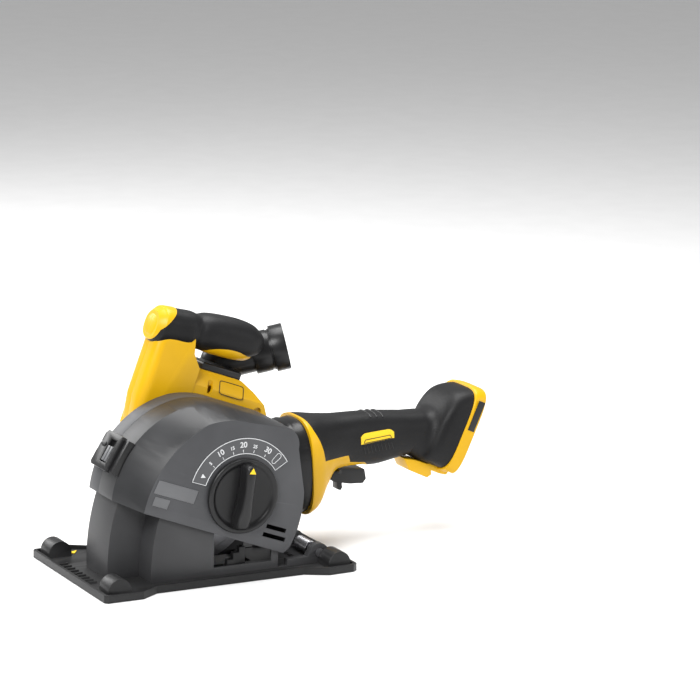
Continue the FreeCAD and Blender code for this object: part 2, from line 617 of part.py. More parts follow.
def make_gears():
    centre = MOTOR_AXIS
    wheel = bevel_gear(D.gear_radius, D.pinion_radius, WHEEL_TEETH, 6.0, D.spindle_radius, 0.5)
    wheel.Placement = Placement(centre, Rotation(Vector(0, 0, 1), Y_AXIS))
    aim = wheel.Placement.Rotation.inverted().multVec(Vector(1, 0, 0))
    extra = math.degrees(math.atan2(aim.y, aim.x))
    wheel.Placement = wheel.Placement.multiply(Placement(Vector(), Rotation(Vector(0, 0, 1), extra)))
    keep_shape("bevel_wheel", MOTOR, wheel.copy())
    pinion = bevel_gear(D.pinion_radius, D.gear_radius, PINION_TEETH, 5.0, D.shaft_radius - 1.5, 0.0)
    pinion.Placement = Placement(centre, Rotation(Vector(0, 0, 1), Vector(1, 0, 0)))
    aim = pinion.Placement.Rotation.inverted().multVec(Y_AXIS)
    extra = math.degrees(math.atan2(aim.y, aim.x))
    pinion.Placement = pinion.Placement.multiply(Placement(Vector(), Rotation(Vector(0, 0, 1), extra)))
    keep_shape("pinion", MOTOR, pinion.copy())


# ---------------------------------------------------------------- motor
STATOR_X = D.ring_x - 22.0
FAN_X = D.ring_x - 34.0
FRONT_BEARING_X = 60.0
REAR_BEARING_X = STATOR_X + D.stator_length + 9.0
REAR_SHAFT_X = REAR_BEARING_X + 8.0


def ring_along_motor(inner, outer, x0, x1):
    start = Vector(x0, D.motor_y, 0)
    ring = Part.makeCylinder(outer, x1 - x0, start, Vector(1, 0, 0))
    if inner > 0:
        ring = ring.cut(Part.makeCylinder(inner, x1 - x0, start, Vector(1, 0, 0)))
    return ring


def make_motor():
    nose = D.gear_radius * 0.62
    small = D.shaft_radius - 1.5
    shaft = joined([ring_along_motor(0, small, nose, 34), ring_along_motor(0, D.shaft_radius, 26, REAR_SHAFT_X)])
    keep_shape("rotor_shaft", MOTOR, shaft)
    keep_shape("rotor", MOTOR, ring_along_motor(D.shaft_radius, D.rotor_radius, STATOR_X,
                                               STATOR_X + D.stator_length))
    hub = ring_along_motor(D.shaft_radius, 8, FAN_X, FAN_X + 6)
    blades = [ring_along_motor(8, 21, FAN_X + 5, FAN_X + 6)]
    for number in range(11):
        blade = box(FAN_X, FAN_X + 5.5, -0.7, 0.7, 7.5, 20.5)
        blade.rotate(Vector(), Vector(1, 0, 0), 360 * number / 11)
        blade.translate(MOTOR_AXIS)
        blades.append(blade)
    keep_shape("cooling_fan", MOTOR, joined([hub] + blades))
    stack = ring_along_motor(D.rotor_radius + 0.7, D.stator_radius, STATOR_X, STATOR_X + D.stator_length)
    keep_shape("stator_core", MOTOR, stack)
    windings = [ring_along_motor(19.5, 27, STATOR_X - 4.5, STATOR_X),
                ring_along_motor(19.5, 24, STATOR_X + D.stator_length, STATOR_X + D.stator_length + 4.5)]
    keep_shape("stator_windings", MOTOR, Part.makeCompound(windings))
    bearings = [ring_along_motor(D.shaft_radius + D.running_gap, 12.5, FRONT_BEARING_X, FRONT_BEARING_X + 8),
                ring_along_motor(D.shaft_radius + D.running_gap, 10, REAR_BEARING_X, REAR_BEARING_X + 7)]
    far = D.motor_y + 26
    near_ring = rod(0, 0, 13, D.guard_far + 2.5, D.guard_far + 10)
    near_ring = near_ring.cut(rod(0, 0, D.spindle_radius + D.running_gap, 0, 90))
    far_ring = rod(0, 0, 12, far - 7.5, far - 0.5)
    far_ring = far_ring.cut(rod(0, 0, D.spindle_radius - 2 + D.running_gap, 0, 90))
    keep_shape("ball_bearings", MOTOR, Part.makeCompound(bearings + [near_ring, far_ring]))


# ---------------------------------------------------------------- metal gear case
SADDLE_Z = 26.0
CAP_Y = D.motor_y + 27.0


def make_gear_case():
    radius = D.gear_case_radius
    near = D.guard_far
    neck = D.motor_y - near - 0.8
    start = Vector(0, D.motor_y, 0)
    along = Vector(1, 0, 0)
    mouth = D.ring_x - 30.0
    flare = mouth - 13.0
    ring_half = D.ring_height / 2 - 12
    outer = [rod(0, 0, radius, near, CAP_Y), Part.makeCylinder(neck, flare, start, along),
             Part.makeCone(neck, ring_half, mouth - flare, Vector(flare, D.motor_y, 0), along),
             box(-14, flare - 4, near + 3, D.motor_y + 16, 10, SADDLE_Z)]
    inner = [rod(0, 0, radius - 3, near + 2.5, CAP_Y + 1), Part.makeCylinder(neck - 3, flare, start, along),
             Part.makeCone(neck - 3, ring_half - 3, mouth - flare, Vector(flare, D.motor_y, 0), along),
             rod(0, 0, 8.5, near - 1, near + 5)]
    body = joined(outer).cut(inner)
    seat = rod(0, 0, 15.5, near + 1, near + 9).cut(rod(0, 0, 13, near + 2.5, near + 10))
    body = joined([body, seat]).cut(rod(0, 0, 8.5, near - 1, near + 5))
    fins = []
    for number in range(6):
        x = 30 + 8 * number
        fin = Part.makeCylinder(neck + 1.8, 2.4, Vector(x, D.motor_y, 0), along)
        fins.append(fin.cut(Part.makeCylinder(neck - 1, 2.4, Vector(x, D.motor_y, 0), along)).common(
            box(x - 1, x + 4, D.motor_y, 80, -40, SADDLE_Z - 1)))
    guard_room = prism(guard_outline(D.guard_split, **RIM), D.guard_far - D.guard_split)
    guard_room.Placement = MOTOR.inverse().multiply(TOOL)
    keep_shape("gear_case", MOTOR, solid_of(joined([body] + fins).cut(guard_room)))
    far_seat = rod(0, 0, 14, CAP_Y - 8, CAP_Y).cut(rod(0, 0, 12, CAP_Y - 8.5, CAP_Y - 1.5))
    cap = joined([rod(0, 0, radius, CAP_Y, CAP_Y + 4), far_seat])
    heads = []
    for corner in range(4):
        angle = math.radians(45 + 90 * corner)
        x, z = (radius - 3.5) * math.cos(angle), (radius - 3.5) * math.sin(angle)
        head = rod(x, z, 2.6, CAP_Y + 2.5, CAP_Y + 5.5).fuse(rod(x, z, 1.3, CAP_Y, CAP_Y + 3))
        heads.append(head.removeSplitter().cut(rod(x, z, 1.2, CAP_Y + 4, CAP_Y + 6)))
    button_hole = rod(0, BUTTON_Z, BUTTON_PIN + D.running_gap, 0, 90)
    keep_shape("gear_case_cap", MOTOR, cap.cut(heads + [button_hole]))
    keep_shape("cap_screws", MOTOR, Part.makeCompound(heads))
    button = rod(0, BUTTON_Z, BUTTON_PIN, CAP_Y - 6, CAP_Y + 7.5)
    button = button.fuse(rod(0, BUTTON_Z, 5.4, CAP_Y + 7.5, CAP_Y + 10.5)).removeSplitter()
    keep_shape("spindle_lock_button", MOTOR, button)


BUTTON_PIN = 1.8
BUTTON_Z = D.gear_case_radius - 5.1


# ---------------------------------------------------------------- motor shell, grip and foot
FOOT_CENTRE = Vector(303.6, D.motor_y, 7.1)
FOOT_OUT = Vector(0.894, 0, -0.447)
FOOT_UP = Vector(0.447, 0, 0.894)
FOOT_FRAME = Placement(FOOT_CENTRE, Rotation(FOOT_OUT, Y_AXIS, FOOT_UP, "ZYX"))


def foot_section(out, low, high, half_y, thinner=0.0, power=4.0):
    centre = FOOT_CENTRE + FOOT_OUT * out + FOOT_UP * ((low + high) / 2)
    half = (high - low) / 2 - thinner
    return oval(centre, Y_AXIS, FOOT_UP, half_y - thinner, half, power, 20)


def grip_wires(thinner):
    """Sections from the motor ring to the end of the grip."""
    high = D.ring_height / 2
    wide = D.ring_width / 2
    grip = D.grip_width / 2
    tall = D.grip_height
    rows = [(D.ring_x, -high, high, wide), (D.ring_x + 10, -high + 4, high - 0.5, wide - 1.5),
            (D.ring_x + 22, -26, high - 2.5, wide - 7), (D.ring_x + 36, -10, high - 4, grip + 5),
            (D.ring_x + 57, -9, tall - 4.5, grip + 1), (D.ring_x + 82, -12, tall - 6.5, grip),
            (D.ring_x + 112, -7.5, tall - 11.5, grip - 1), (D.ring_x + 122, -8, tall - 12.5, grip - 1)]
    return [section(x, low, top, half, thinner) for x, low, top, half in rows]


def flare_wires(thinner):
    half = D.foot_width / 2
    long = D.foot_length / 2
    rows = [(-60, -30, 0, D.grip_width / 2 - 1), (-48, -38, 14, half - 10), (-38, -41, 31, half - 4.5),
            (-27, -41, long - 4, half - 2.5), (-D.foot_thick, -long + 3, long - 1, half - 2)]
    return [foot_section(out, low, top, wide, thinner, 3.2) for out, low, top, wide in rows]


def colour_split(y0, y1):
    """The side view of the yellow part: the ring's band, the trigger guard and all below."""
    x = D.ring_x
    return slab([(x - 2, 70), (x + 3, 70), (x + 3.5, 48), (x + 10, 28, "via"), (x + 14.5, 7.3),
                 (x + 46, 5.9), (x + 49, -1.9), (x + 66, -5.4), (x + 72, -9.5), (x + 72, -40),
                 (x + 40, -70), (x - 2, -70)], y0, y1)


def make_motor_shell():
    wall = D.shell_wall
    body = loft(grip_wires(0))
    core = loft(grip_wires(wall))
    ring_end = box(D.ring_x - 1, D.ring_x + 6, -20, 100, -60, 60)
    opening = loft([section(D.ring_x - 1, -D.ring_height / 2, D.ring_height / 2, D.ring_width / 2, wall),
                    section(D.ring_x + 4, -D.ring_height / 2, D.ring_height / 2, D.ring_width / 2, wall)])
    shell = body.cut([core, opening.common(ring_end)])
    trigger_room = box(D.ring_x + 27, D.ring_x + 72, D.motor_y - 12.3, D.motor_y + 12.3, -40, -2.5)
    trigger_room = trigger_room.fuse(trigger_pin())
    web = ring_along_motor(10, 22, REAR_BEARING_X + 1, REAR_BEARING_X + 5)
    split = colour_split(-20, 100)
    yellow = shell.common(split).cut(trigger_room)
    near_room = box(0, 400, -50, D.motor_y, -100, 100)
    yellow_near = solid_of(yellow.common(near_room))
    yellow_far = solid_of(yellow.cut(near_room))
    keep_shape("motor_shell_near", MOTOR, yellow_near)
    keep_shape("motor_shell_far", MOTOR, yellow_far)

    flare = loft(flare_wires(0))
    flare_core = loft(flare_wires(wall))
    black = joined([body.cut(split), flare]).cut([core, flare_core])
    keep_shape("grip_overmold", MOTOR, solid_of(black.cut([trigger_room])))
    keep_shape("bearing_plate", MOTOR, solid_of(web.common(core)))

    neck = D.ring_x - 30
    metal = loft([section(neck, -42, 42, 34.5), section(D.ring_x - 12, -45.5, 45.5, 36)])
    metal = metal.cut(loft([section(neck + 3, -42, 42, 34.5, 3), section(D.ring_x - 12 + 1, -45.5, 45.5, 36, 3)]))
    metal = metal.cut(Part.makeCylinder(30, 10, Vector(neck - 2, D.motor_y, 0), Vector(1, 0, 0)))
    vents = []
    for number in range(7):
        z = -24 + 8 * number
        vents.append(box(neck + 6, D.ring_x - 15, D.motor_y - 50, D.motor_y + 50, z - 2, z + 2))
    keep_shape("motor_front", MOTOR, solid_of(metal.cut(vents)))
    baffle = loft([section(D.ring_x - 12, -44, 44, 34.5), section(D.ring_x, -45.5, 45.5, 36)])
    baffle = baffle.cut(loft([section(D.ring_x - 13, -44, 44, 34.5, 3.2), section(D.ring_x + 1, -45.5, 45.5, 36, 3.2)]))
    keep_shape("motor_baffle", MOTOR, baffle)


def solid_of(shape):
    """The largest solid of a shape, so that slivers of a cut are left out."""
    return max(shape.Solids, key=lambda solid: solid.Volume)


def make_foot():
    half = D.foot_width / 2
    long = D.foot_length / 2
    plate = loft([foot_section(-D.foot_thick, -long, long + 2, half), foot_section(-3, -long, long + 3, half),
                  foot_section(0, -long + 2, long + 1, half - 2)])
    local = []
    local.append(box(-8, 2, -25, 25, -long - 5, long - 8))
    pocket = local[0]
    rails = [box(-2.6, -0.4, side * 22.5 - 3, side * 22.5 + 3, -long + 8, long - 8) for side in (-1, 1)]
    pocket = pocket.cut(rails)
    pocket.Placement = FOOT_FRAME
    keep_shape("battery_foot", MOTOR, solid_of(plate.cut(pocket)))
    block = box(-8, -3, -14, 14, 4, 26)
    slots = [box(-7, -2, y - 0.9, y + 0.9, 2, 22) for y in (-9, -3, 3, 9)]
    block = block.cut(slots)
    block.Placement = FOOT_FRAME.multiply(block.Placement)
    blades = Part.makeCompound([box(-7, -3.6, y - 0.5, y + 0.5, 6, 20) for y in (-9, -3, 3, 9)])
    blades.Placement = FOOT_FRAME.multiply(blades.Placement)
    keep_shape("terminal_block", MOTOR, Part.makeCompound([block, blades]))


def make_trigger():
    x = D.ring_x
    y0, y1 = D.motor_y - 11, D.motor_y + 11
    paddle = slab([(x + 34, -14), (x + 34, -8), (x + 38, -5.6), (x + 44, -9), (x + 68, -13.5),
                   (x + 69.5, -23), (x + 66, -27), (x + 52, -25.5), (x + 35, -21), (x + 32, -18)], y0, y1)
    pivot = TRIGGER_PIVOT
    lever_room = box(x + 40.5, x + 50.5, D.motor_y - 5.5, D.motor_y + 5.5, -40, -16.5)
    lever_pin = rod(x + 44, -21, 1.3, D.motor_y - 9, D.motor_y + 9)
    pin_bore = rod(pivot.x, pivot.z, 1.8 + D.running_gap, 0, 90)
    keep_shape("trigger_paddle", MOTOR, paddle.cut([pin_bore, lever_room, lever_pin]))
    keep_shape("trigger_pin", MOTOR, trigger_pin())
    lever = slab([(x + 41.5, -19), (x + 46.5, -19), (x + 47, -30), (x + 45, -32.5), (x + 42, -31)],
                 D.motor_y - 4.8, D.motor_y + 4.8)
    lever = lever.cut(rod(x + 44, -21, 1.3 + D.running_gap, 0, 90))
    keep_shape("lock_off_lever", MOTOR, lever)
    keep_shape("lock_off_pin", MOTOR, lever_pin)
    keep_shape("switch_module", MOTOR, box(x + 40, x + 68, D.motor_y - 9, D.motor_y + 9, 0, 20))
    keep_shape("controller", MOTOR, box(x + 73, x + 104, D.motor_y - 10, D.motor_y + 10, -2, 20))


TRIGGER_PIVOT = Vector(D.ring_x + 37.4, 0, -9.5)


def trigger_pin():
    return rod(TRIGGER_PIVOT.x, TRIGGER_PIVOT.z, 1.8, D.motor_y - 20, D.motor_y + 20)


# ---------------------------------------------------------------- front housing, handle and port
def motor_spot(x, z):
    """A side-view point of the motor frame, in the tool frame."""
    tilt = math.radians(D.motor_tilt)
    return (D.arbor_x + x * math.cos(tilt) - z * math.sin(tilt),
            D.arbor_z + x * math.sin(tilt) + z * math.cos(tilt))


GRIP_FRONT = -193.0
DECK_W = 124.0


def grip_section(u, centre, half_y, half_up, power=2.3):
    return oval(Vector(u, D.motor_y, centre), Y_AXIS, Vector(0, 0, 1), half_y, half_up, power)


def make_front_handle():
    radius = D.front_grip_radius
    front = GRIP_FRONT
    end = front + D.front_grip_length
    seam = front + 10
    nose = loft([grip_section(front, 149.5, 9, 8.5), grip_section(front + 2, 149.8, 13.5, 13),
                 grip_section(front + 6, 150.6, radius - 0.4, radius - 2),
                 grip_section(seam, 151.8, radius + 0.8, radius - 0.6)])
    bar = Part.makeCylinder(10, end - 8 - seam, Vector(seam, D.motor_y, 153), Vector(1, 0, 0.08))
    sleeve = loft([grip_section(seam, 151.8, radius + 0.8, radius - 0.6),
                   grip_section(front + 38, 154.8, radius + 1.2, radius - 0.4),
                   grip_section(front + 42, 155.2, radius - 1.5, radius - 2.6),
                   grip_section(front + 46, 155.6, radius - 1.0, radius - 2.2),
                   grip_section(front + 56, 157.5, radius + 3.2, radius + 0.3),
                   grip_section(front + 84, 159.6, radius + 3.6, radius + 0.4),
                   grip_section(front + 104, 160.6, radius - 0.5, radius - 3.5),
                   grip_section(end - 2, 160.2, 8.5, 8.0), grip_section(end, 160, 4, 4)])
    pillar = slab([(-184, 60), (-188, 84), (-188, 138), (-184, 150), (-152, 150), (-148, 136),
                   (-138, DECK_W), (-138, 60)], D.guard_far, D.motor_y + 17)
    fronts = [edge for edge in pillar.Edges if edge.BoundBox.XMax < -183.9 and edge.Length < 60
              and abs(edge.BoundBox.YLength) < 0.1]
    pillar = pillar.makeFillet(9.0, fronts)
    near = D.guard_far + 0.8
    far = D.motor_y + 28
    deck_points = [(-176, 54), (-176, 100), (-168, DECK_W - 6), (-152, DECK_W), (-88, DECK_W),
                   (-74, DECK_W - 6.5), (-61, DECK_W - 15), (-53.5, DECK_W - 26), (-46, 84),
                   motor_spot(84, SADDLE_Z), motor_spot(-24, SADDLE_Z), (-168, 40)]
    deck = slab(deck_points, near, far)
    slope = Part.Face(Part.makePolygon([Vector(-220, near - 1, DECK_W - 16), Vector(-220, near - 1, DECK_W + 9),
                                        Vector(-220, near + 13.5, DECK_W + 9), Vector(-220, near - 1, DECK_W - 16)]))
    deck = deck.cut(slope.extrude(Vector(200, 0, 0)))
    inner_points = [(-173, 30), (-173, 99), (-166, DECK_W - 9), (-151, DECK_W - 3), (-89, DECK_W - 3),
                    (-76, DECK_W - 9), (-64, DECK_W - 17), (-56.5, DECK_W - 27), (-49, 84), (-49, 30)]
    room = slab(inner_points, near + 3, far - 3).cut(
        Part.Face(Part.makePolygon([Vector(-220, near - 1, DECK_W - 21), Vector(-220, near - 1, DECK_W + 9),
                                    Vector(-220, near + 17, DECK_W + 9), Vector(-220, near - 1, DECK_W - 21)])
                  ).extrude(Vector(200, 0, 0)))
    port_hole = Part.makeCylinder(11.5, 12, Vector(-112, D.motor_y + 12, DECK_W - 8))
    yellow = joined([pillar.cut(sleeve), deck, nose]).fuse(bar).cut([room, port_hole])
    near_room = box(-300, 100, -50, D.motor_y, 0, 300)
    screws = []
    recesses = []
    for u, w in ((-168, 72), (-160, 112), (-66, 90)):
        head_y = far if w != 112 else D.motor_y + 16.8
        screw = rod(u, w, 3.0, head_y - 3.5, head_y - 0.6).fuse(rod(u, w, 1.5, head_y - 12, head_y - 3))
        screws.append(screw.removeSplitter().cut(rod(u, w, 1.4, head_y - 2, head_y)))
        recesses.append(rod(u, w, 3.05, head_y - 3.5, far + 3))
        recesses.append(rod(u, w, 1.5, head_y - 12, head_y - 3))
    keep_shape("front_housing_near", TOOL, solid_of(yellow.common(near_room)))
    keep_shape("front_housing_far", TOOL, solid_of(yellow.cut([near_room] + recesses)))
    keep_shape("housing_screws", TOOL, Part.makeCompound(screws))
    hole = Part.makeCylinder(3.2, 20, Vector(-112, D.motor_y - 3, 171))
    along = (PORT_END - PORT_START).normalize()
    port_room = Part.makeCylinder(D.port_radius + D.port_wall + 2.8, 40, PORT_END - along * 37, along)
    keep_shape("front_grip", TOOL, solid_of(sleeve.cut([bar, hole, port_room])))

    make_dust_port()


PORT_START = Vector(-90, 70, 135)
PORT_END = Vector(-45, 48, 166.5)


def make_dust_port():
    axis = PORT_END - PORT_START
    length = axis.Length
    axis.normalize()
    wall = D.port_wall
    outer = D.port_radius + wall
    neck = length - 24
    above = box(-200, 60, -50, 160, DECK_W + 0.01, 260)
    base = box(-130, -88, D.motor_y - 4, D.motor_y + 28, DECK_W, DECK_W + 7)
    tops = [edge for edge in base.Edges if edge.BoundBox.ZMin > DECK_W + 6.9]
    base = base.makeFillet(2.5, tops)
    tube = Part.makeCylinder(outer - 2.5, neck + 6, PORT_START - axis * 6, axis)
    tube = tube.common(above)
    bulge = Part.makeSphere(outer - 2.5, PORT_START - axis * 6).common(above)
    body = joined([base, tube, bulge])
    bore = Part.makeCylinder(outer - 2.5 - wall, neck + 8, PORT_START - axis * 2, axis)
    room = box(-128, -90, D.motor_y - 2, D.motor_y + 26, DECK_W - 1, DECK_W + 4.5)
    above_room = box(-200, 60, -50, 160, DECK_W + 2, 260)
    body = body.cut([bore.common(above_room), room])
    keep_shape("dust_port", TOOL, solid_of(body))
    joint = PORT_START + axis * (neck - 8)
    gap = D.running_gap
    sleeve = Part.makeCylinder(outer, 32, joint, axis)
    collar = Part.makeCylinder(outer + 2.2, 13, joint + axis * 19, axis)
    sleeve = sleeve.fuse(collar).removeSplitter()
    sleeve = sleeve.cut(Part.makeCylinder(outer - 2.5 + gap, 8 + 0.4, joint, axis))
    sleeve = sleeve.cut(Part.makeCylinder(D.port_radius, 40, joint + axis * 8.2, axis))
    groove = Part.makeCylinder(outer + 4, 2.0, joint + axis * 15.5, axis)
    groove = groove.cut(Part.makeCylinder(outer - 0.9, 2.0, joint + axis * 15.5, axis))
    keep_shape("dust_outlet", TOOL, solid_of(sleeve.cut(groove)))


make_spindle()
make_gears()
make_motor()
make_gear_case()
make_motor_shell()
make_foot()
make_trigger()
make_front_handle()


# ---------------------------------------------------------------- centre, check and write
document.recompute()
whole = FreeCAD.BoundBox()
for item in nodes:
    whole.add(item.Shape.optimalBoundingBox(True, False))
shift = Placement(Vector(-whole.Center.x, -whole.Center.y, -whole.ZMin), Rotation())
for item in nodes:
    item.Placement = shift.multiply(item.Placement)
document.recompute()
for item in document.Objects:
    if "Invalid" in item.State or "Error" in item.State:
        raise RuntimeError("%s failed: %s" % (item.Label, item.State))
for item in nodes:
    if item.Shape.isNull() or not item.Shape.isValid():
        raise RuntimeError("%s has no valid shape" % item.Label)
os.makedirs("parts", exist_ok=True)
for item in nodes:
    item.Shape.exportStep("parts/%s.step" % item.Label)
SPOTS = {
    "pivot": PLUNGED.multVec(Vector()), "arbor": TOOL.multVec(ARBOR),
    "dial": TOOL.multVec(Vector(D.dial_x, D.panel_y, D.dial_z)),
    "latch hinge": TOOL.multiply(LATCH_FRAME).multVec(Vector(-D.rim_radius - 3.6, 15.5, 0)),
    "motor axis": MOTOR.multVec(MOTOR_AXIS), "trigger": MOTOR.multVec(TRIGGER_PIVOT + MOTOR_AXIS),
    "lock off": MOTOR.multVec(Vector(D.ring_x + 44, D.motor_y, -21)),
    "outlet": TOOL.multVec(PORT_END), "foot": MOTOR.multVec(FOOT_CENTRE),
}
WAYS = {
    "motor axis": MOTOR.Rotation.multVec(Vector(1, 0, 0)),
    "latch axis": TOOL.multiply(LATCH_FRAME).Rotation.multVec(Vector(0, 0, -1)),
    "outlet axis": TOOL.Rotation.multVec((PORT_END - PORT_START).normalize()),
    "foot up": MOTOR.Rotation.multVec(FOOT_UP), "foot out": MOTOR.Rotation.multVec(FOOT_OUT),
}
for name, spot in SPOTS.items():
    print("spot", name, *["%.4f" % number for number in shift.multVec(spot)], sep=";")
for name, way in WAYS.items():
    print("way", name, *["%.6f" % number for number in way], sep=";")
print("nodes", len(nodes))
print("origin in the shoe frame", whole.Center.x, whole.Center.y, whole.ZMin)
print("size", whole.XLength, whole.YLength, whole.ZLength)
for item in nodes:
    print("%-22s %9.2f cm3 %2d solids" % (item.Label, item.Shape.Volume / 1000, len(item.Shape.Solids)))
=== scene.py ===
"""Looks of the wall chaser: finishes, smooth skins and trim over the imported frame."""
import json
import math
import bmesh
import bpy
from mathutils import Matrix, Vector
from mathutils.bvhtree import BVHTree


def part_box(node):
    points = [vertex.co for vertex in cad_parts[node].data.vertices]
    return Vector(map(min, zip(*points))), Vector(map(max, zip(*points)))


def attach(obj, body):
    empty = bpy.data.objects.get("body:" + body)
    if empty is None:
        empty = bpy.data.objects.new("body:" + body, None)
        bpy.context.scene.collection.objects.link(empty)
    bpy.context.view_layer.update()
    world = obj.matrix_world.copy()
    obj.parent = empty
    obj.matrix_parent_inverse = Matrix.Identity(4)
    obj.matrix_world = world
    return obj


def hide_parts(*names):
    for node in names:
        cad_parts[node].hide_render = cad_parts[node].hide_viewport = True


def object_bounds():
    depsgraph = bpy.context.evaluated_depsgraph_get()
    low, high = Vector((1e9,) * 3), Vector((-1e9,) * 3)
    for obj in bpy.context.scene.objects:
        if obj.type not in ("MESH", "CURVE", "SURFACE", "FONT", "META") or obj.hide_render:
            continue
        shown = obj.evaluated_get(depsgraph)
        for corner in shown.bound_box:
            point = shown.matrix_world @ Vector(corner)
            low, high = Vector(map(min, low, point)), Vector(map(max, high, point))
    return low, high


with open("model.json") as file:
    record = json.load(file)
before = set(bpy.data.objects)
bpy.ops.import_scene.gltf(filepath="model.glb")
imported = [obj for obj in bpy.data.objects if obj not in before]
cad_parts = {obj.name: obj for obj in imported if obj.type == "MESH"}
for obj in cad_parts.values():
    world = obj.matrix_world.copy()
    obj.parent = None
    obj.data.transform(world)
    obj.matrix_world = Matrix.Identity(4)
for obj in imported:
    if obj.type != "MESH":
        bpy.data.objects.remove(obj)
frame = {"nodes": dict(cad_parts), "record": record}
cad_box = [list(corner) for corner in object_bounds()]
MM = 0.001
SIDE = Vector((0, 1, 0)) * MM

# ---------------------------------------------------------------- places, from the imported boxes
shoe_low, shoe_high = [Vector(corner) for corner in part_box("shoe_plate")]
pin_low, pin_high = [Vector(corner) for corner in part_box("pivot_pin")]
SHOE = Vector(((shoe_low.x + shoe_high.x) / 2, (shoe_low.y + shoe_high.y) / 2, shoe_low.z))
PIVOT = Vector(((pin_low.x + pin_high.x) / 2, SHOE.y, (pin_low.z + pin_high.z) / 2))
PARK = math.radians(20)     # how far the tool is tipped up at rest
TILT = math.radians(3)      # rise of the motor towards the rear
MOTOR_Y = 38.0
PANEL_Y = -58.0             # the guard's flat near face
DIAL_U, DIAL_W = -99.0, 31.8
ARBOR_U, ARBOR_W = -118.0, 13.5
TOOL_UP = Vector((math.sin(PARK), 0, math.cos(PARK))) * MM


def tool(u, y, w):
    """A point of the tilting tool, in mm from the pivot, in the row frame."""
    return PIVOT + Vector((u * math.cos(PARK) + w * math.sin(PARK), y,
                           w * math.cos(PARK) - u * math.sin(PARK))) * MM


ARBOR = tool(ARBOR_U, 0, ARBOR_W)


def motor(x, y, z):
    """A point of the motor and its grip, in mm along and above the motor axis."""
    return ARBOR + Vector((x * math.cos(TILT) - z * math.sin(TILT), y,
                           x * math.sin(TILT) + z * math.cos(TILT))) * MM


def sole(x, y, z):
    """A point of the shoe, in mm from the middle of its sole."""
    return SHOE + Vector((x, y, z)) * MM


# ---------------------------------------------------------------- finishes
def node_tree(name):
    """A new material, its node tree and its main shader."""
    material = bpy.data.materials.new(name)
    material.use_nodes = True
    tree = material.node_tree
    return material, tree, tree.nodes["Principled BSDF"]


def link(tree, a, a_socket, b, b_socket):
    tree.links.new(a.outputs[a_socket], b.inputs[b_socket])


def noise(tree, coordinates, scale, detail=3.0):
    texture = tree.nodes.new("ShaderNodeTexNoise")
    texture.inputs["Scale"].default_value = scale
    texture.inputs["Detail"].default_value = detail
    link(tree, coordinates, "Object", texture, "Vector")
    return texture


def ramp(tree, source, socket, stops):
    node = tree.nodes.new("ShaderNodeValToRGB")
    node.color_ramp.elements[0].position = stops[0][0]
    node.color_ramp.elements[0].color = stops[0][1]
    node.color_ramp.elements[1].position = stops[1][0]
    node.color_ramp.elements[1].color = stops[1][1]
    link(tree, source, socket, node, "Fac")
    return node


def moulded(name, colour, rough, grain=1400.0, depth=0.12, vary=0.12, edge_lift=0.25, metal=0.0,
            shine_level=0.28):
    """Moulded or cast surface: fine grain, slow drift of tone, sharp convex edges a little
    lighter.
    """
    material, tree, shader = node_tree(name)
    where = tree.nodes.new("ShaderNodeTexCoord")
    slow = noise(tree, where, 22.0)
    dark = [max(0.0, value * (1 - vary)) for value in colour] + [1]
    light = [min(1.0, value * (1 + vary)) for value in colour] + [1]
    tone = ramp(tree, slow, "Fac", ((0.35, dark), (0.65, light)))
    edge = tree.nodes.new("ShaderNodeNewGeometry")
    # sharp convex edges, picked out by pointiness, are mixed towards a lighter colour
    edge_mask = ramp(tree, edge, "Pointiness", ((0.515, (0, 0, 0, 1)), (0.60, (edge_lift, edge_lift, edge_lift, 1))))
    edge_mixed = tree.nodes.new("ShaderNodeMixRGB")
    edge_mixed.inputs["Color2"].default_value = [min(1.0, value * 1.5 + 0.06) for value in colour] + [1]
    link(tree, edge_mask, "Color", edge_mixed, "Fac")
    link(tree, tone, "Color", edge_mixed, "Color1")
    link(tree, edge_mixed, "Color", shader, "Base Color")
    fine = noise(tree, where, grain, 2.0)
    shine = tree.nodes.new("ShaderNodeMapRange")
    shine.inputs["To Min"].default_value = max(0.05, rough - 0.07)
    shine.inputs["To Max"].default_value = min(1.0, rough + 0.07)
    link(tree, slow, "Fac", shine, "Value")
    link(tree, shine, "Result", shader, "Roughness")
    bump = tree.nodes.new("ShaderNodeBump")
    bump.inputs["Strength"].default_value = depth
    bump.inputs["Distance"].default_value = 0.0002
    link(tree, fine, "Fac", bump, "Height")
    link(tree, bump, "Normal", shader, "Normal")
    shader.inputs["Metallic"].default_value = metal
    shader.inputs["Specular IOR Level"].default_value = shine_level
    return material


def stippled(name, colour, rough):
    """Rubber with a pattern of small raised pips."""
    material, tree, shader = node_tree(name)
    where = tree.nodes.new("ShaderNodeTexCoord")
    pips = tree.nodes.new("ShaderNodeTexVoronoi")
    pips.inputs["Scale"].default_value = 620.0
    link(tree, where, "Object", pips, "Vector")
    slow = noise(tree, where, 30.0)
    dark, light = [v * 0.8 for v in colour] + [1], [v * 1.3 for v in colour] + [1]
    tone = ramp(tree, slow, "Fac", ((0.3, dark), (0.7, light)))
    link(tree, tone, "Color", shader, "Base Color")
    bump = tree.nodes.new("ShaderNodeBump")
    bump.inputs["Strength"].default_value = 0.35
    bump.inputs["Distance"].default_value = 0.0003
    bump.invert = True
    link(tree, pips, "Distance", bump, "Height")
    link(tree, bump, "Normal", shader, "Normal")
    shader.inputs["Roughness"].default_value = rough
    shader.inputs["Specular IOR Level"].default_value = 0.22
    return material


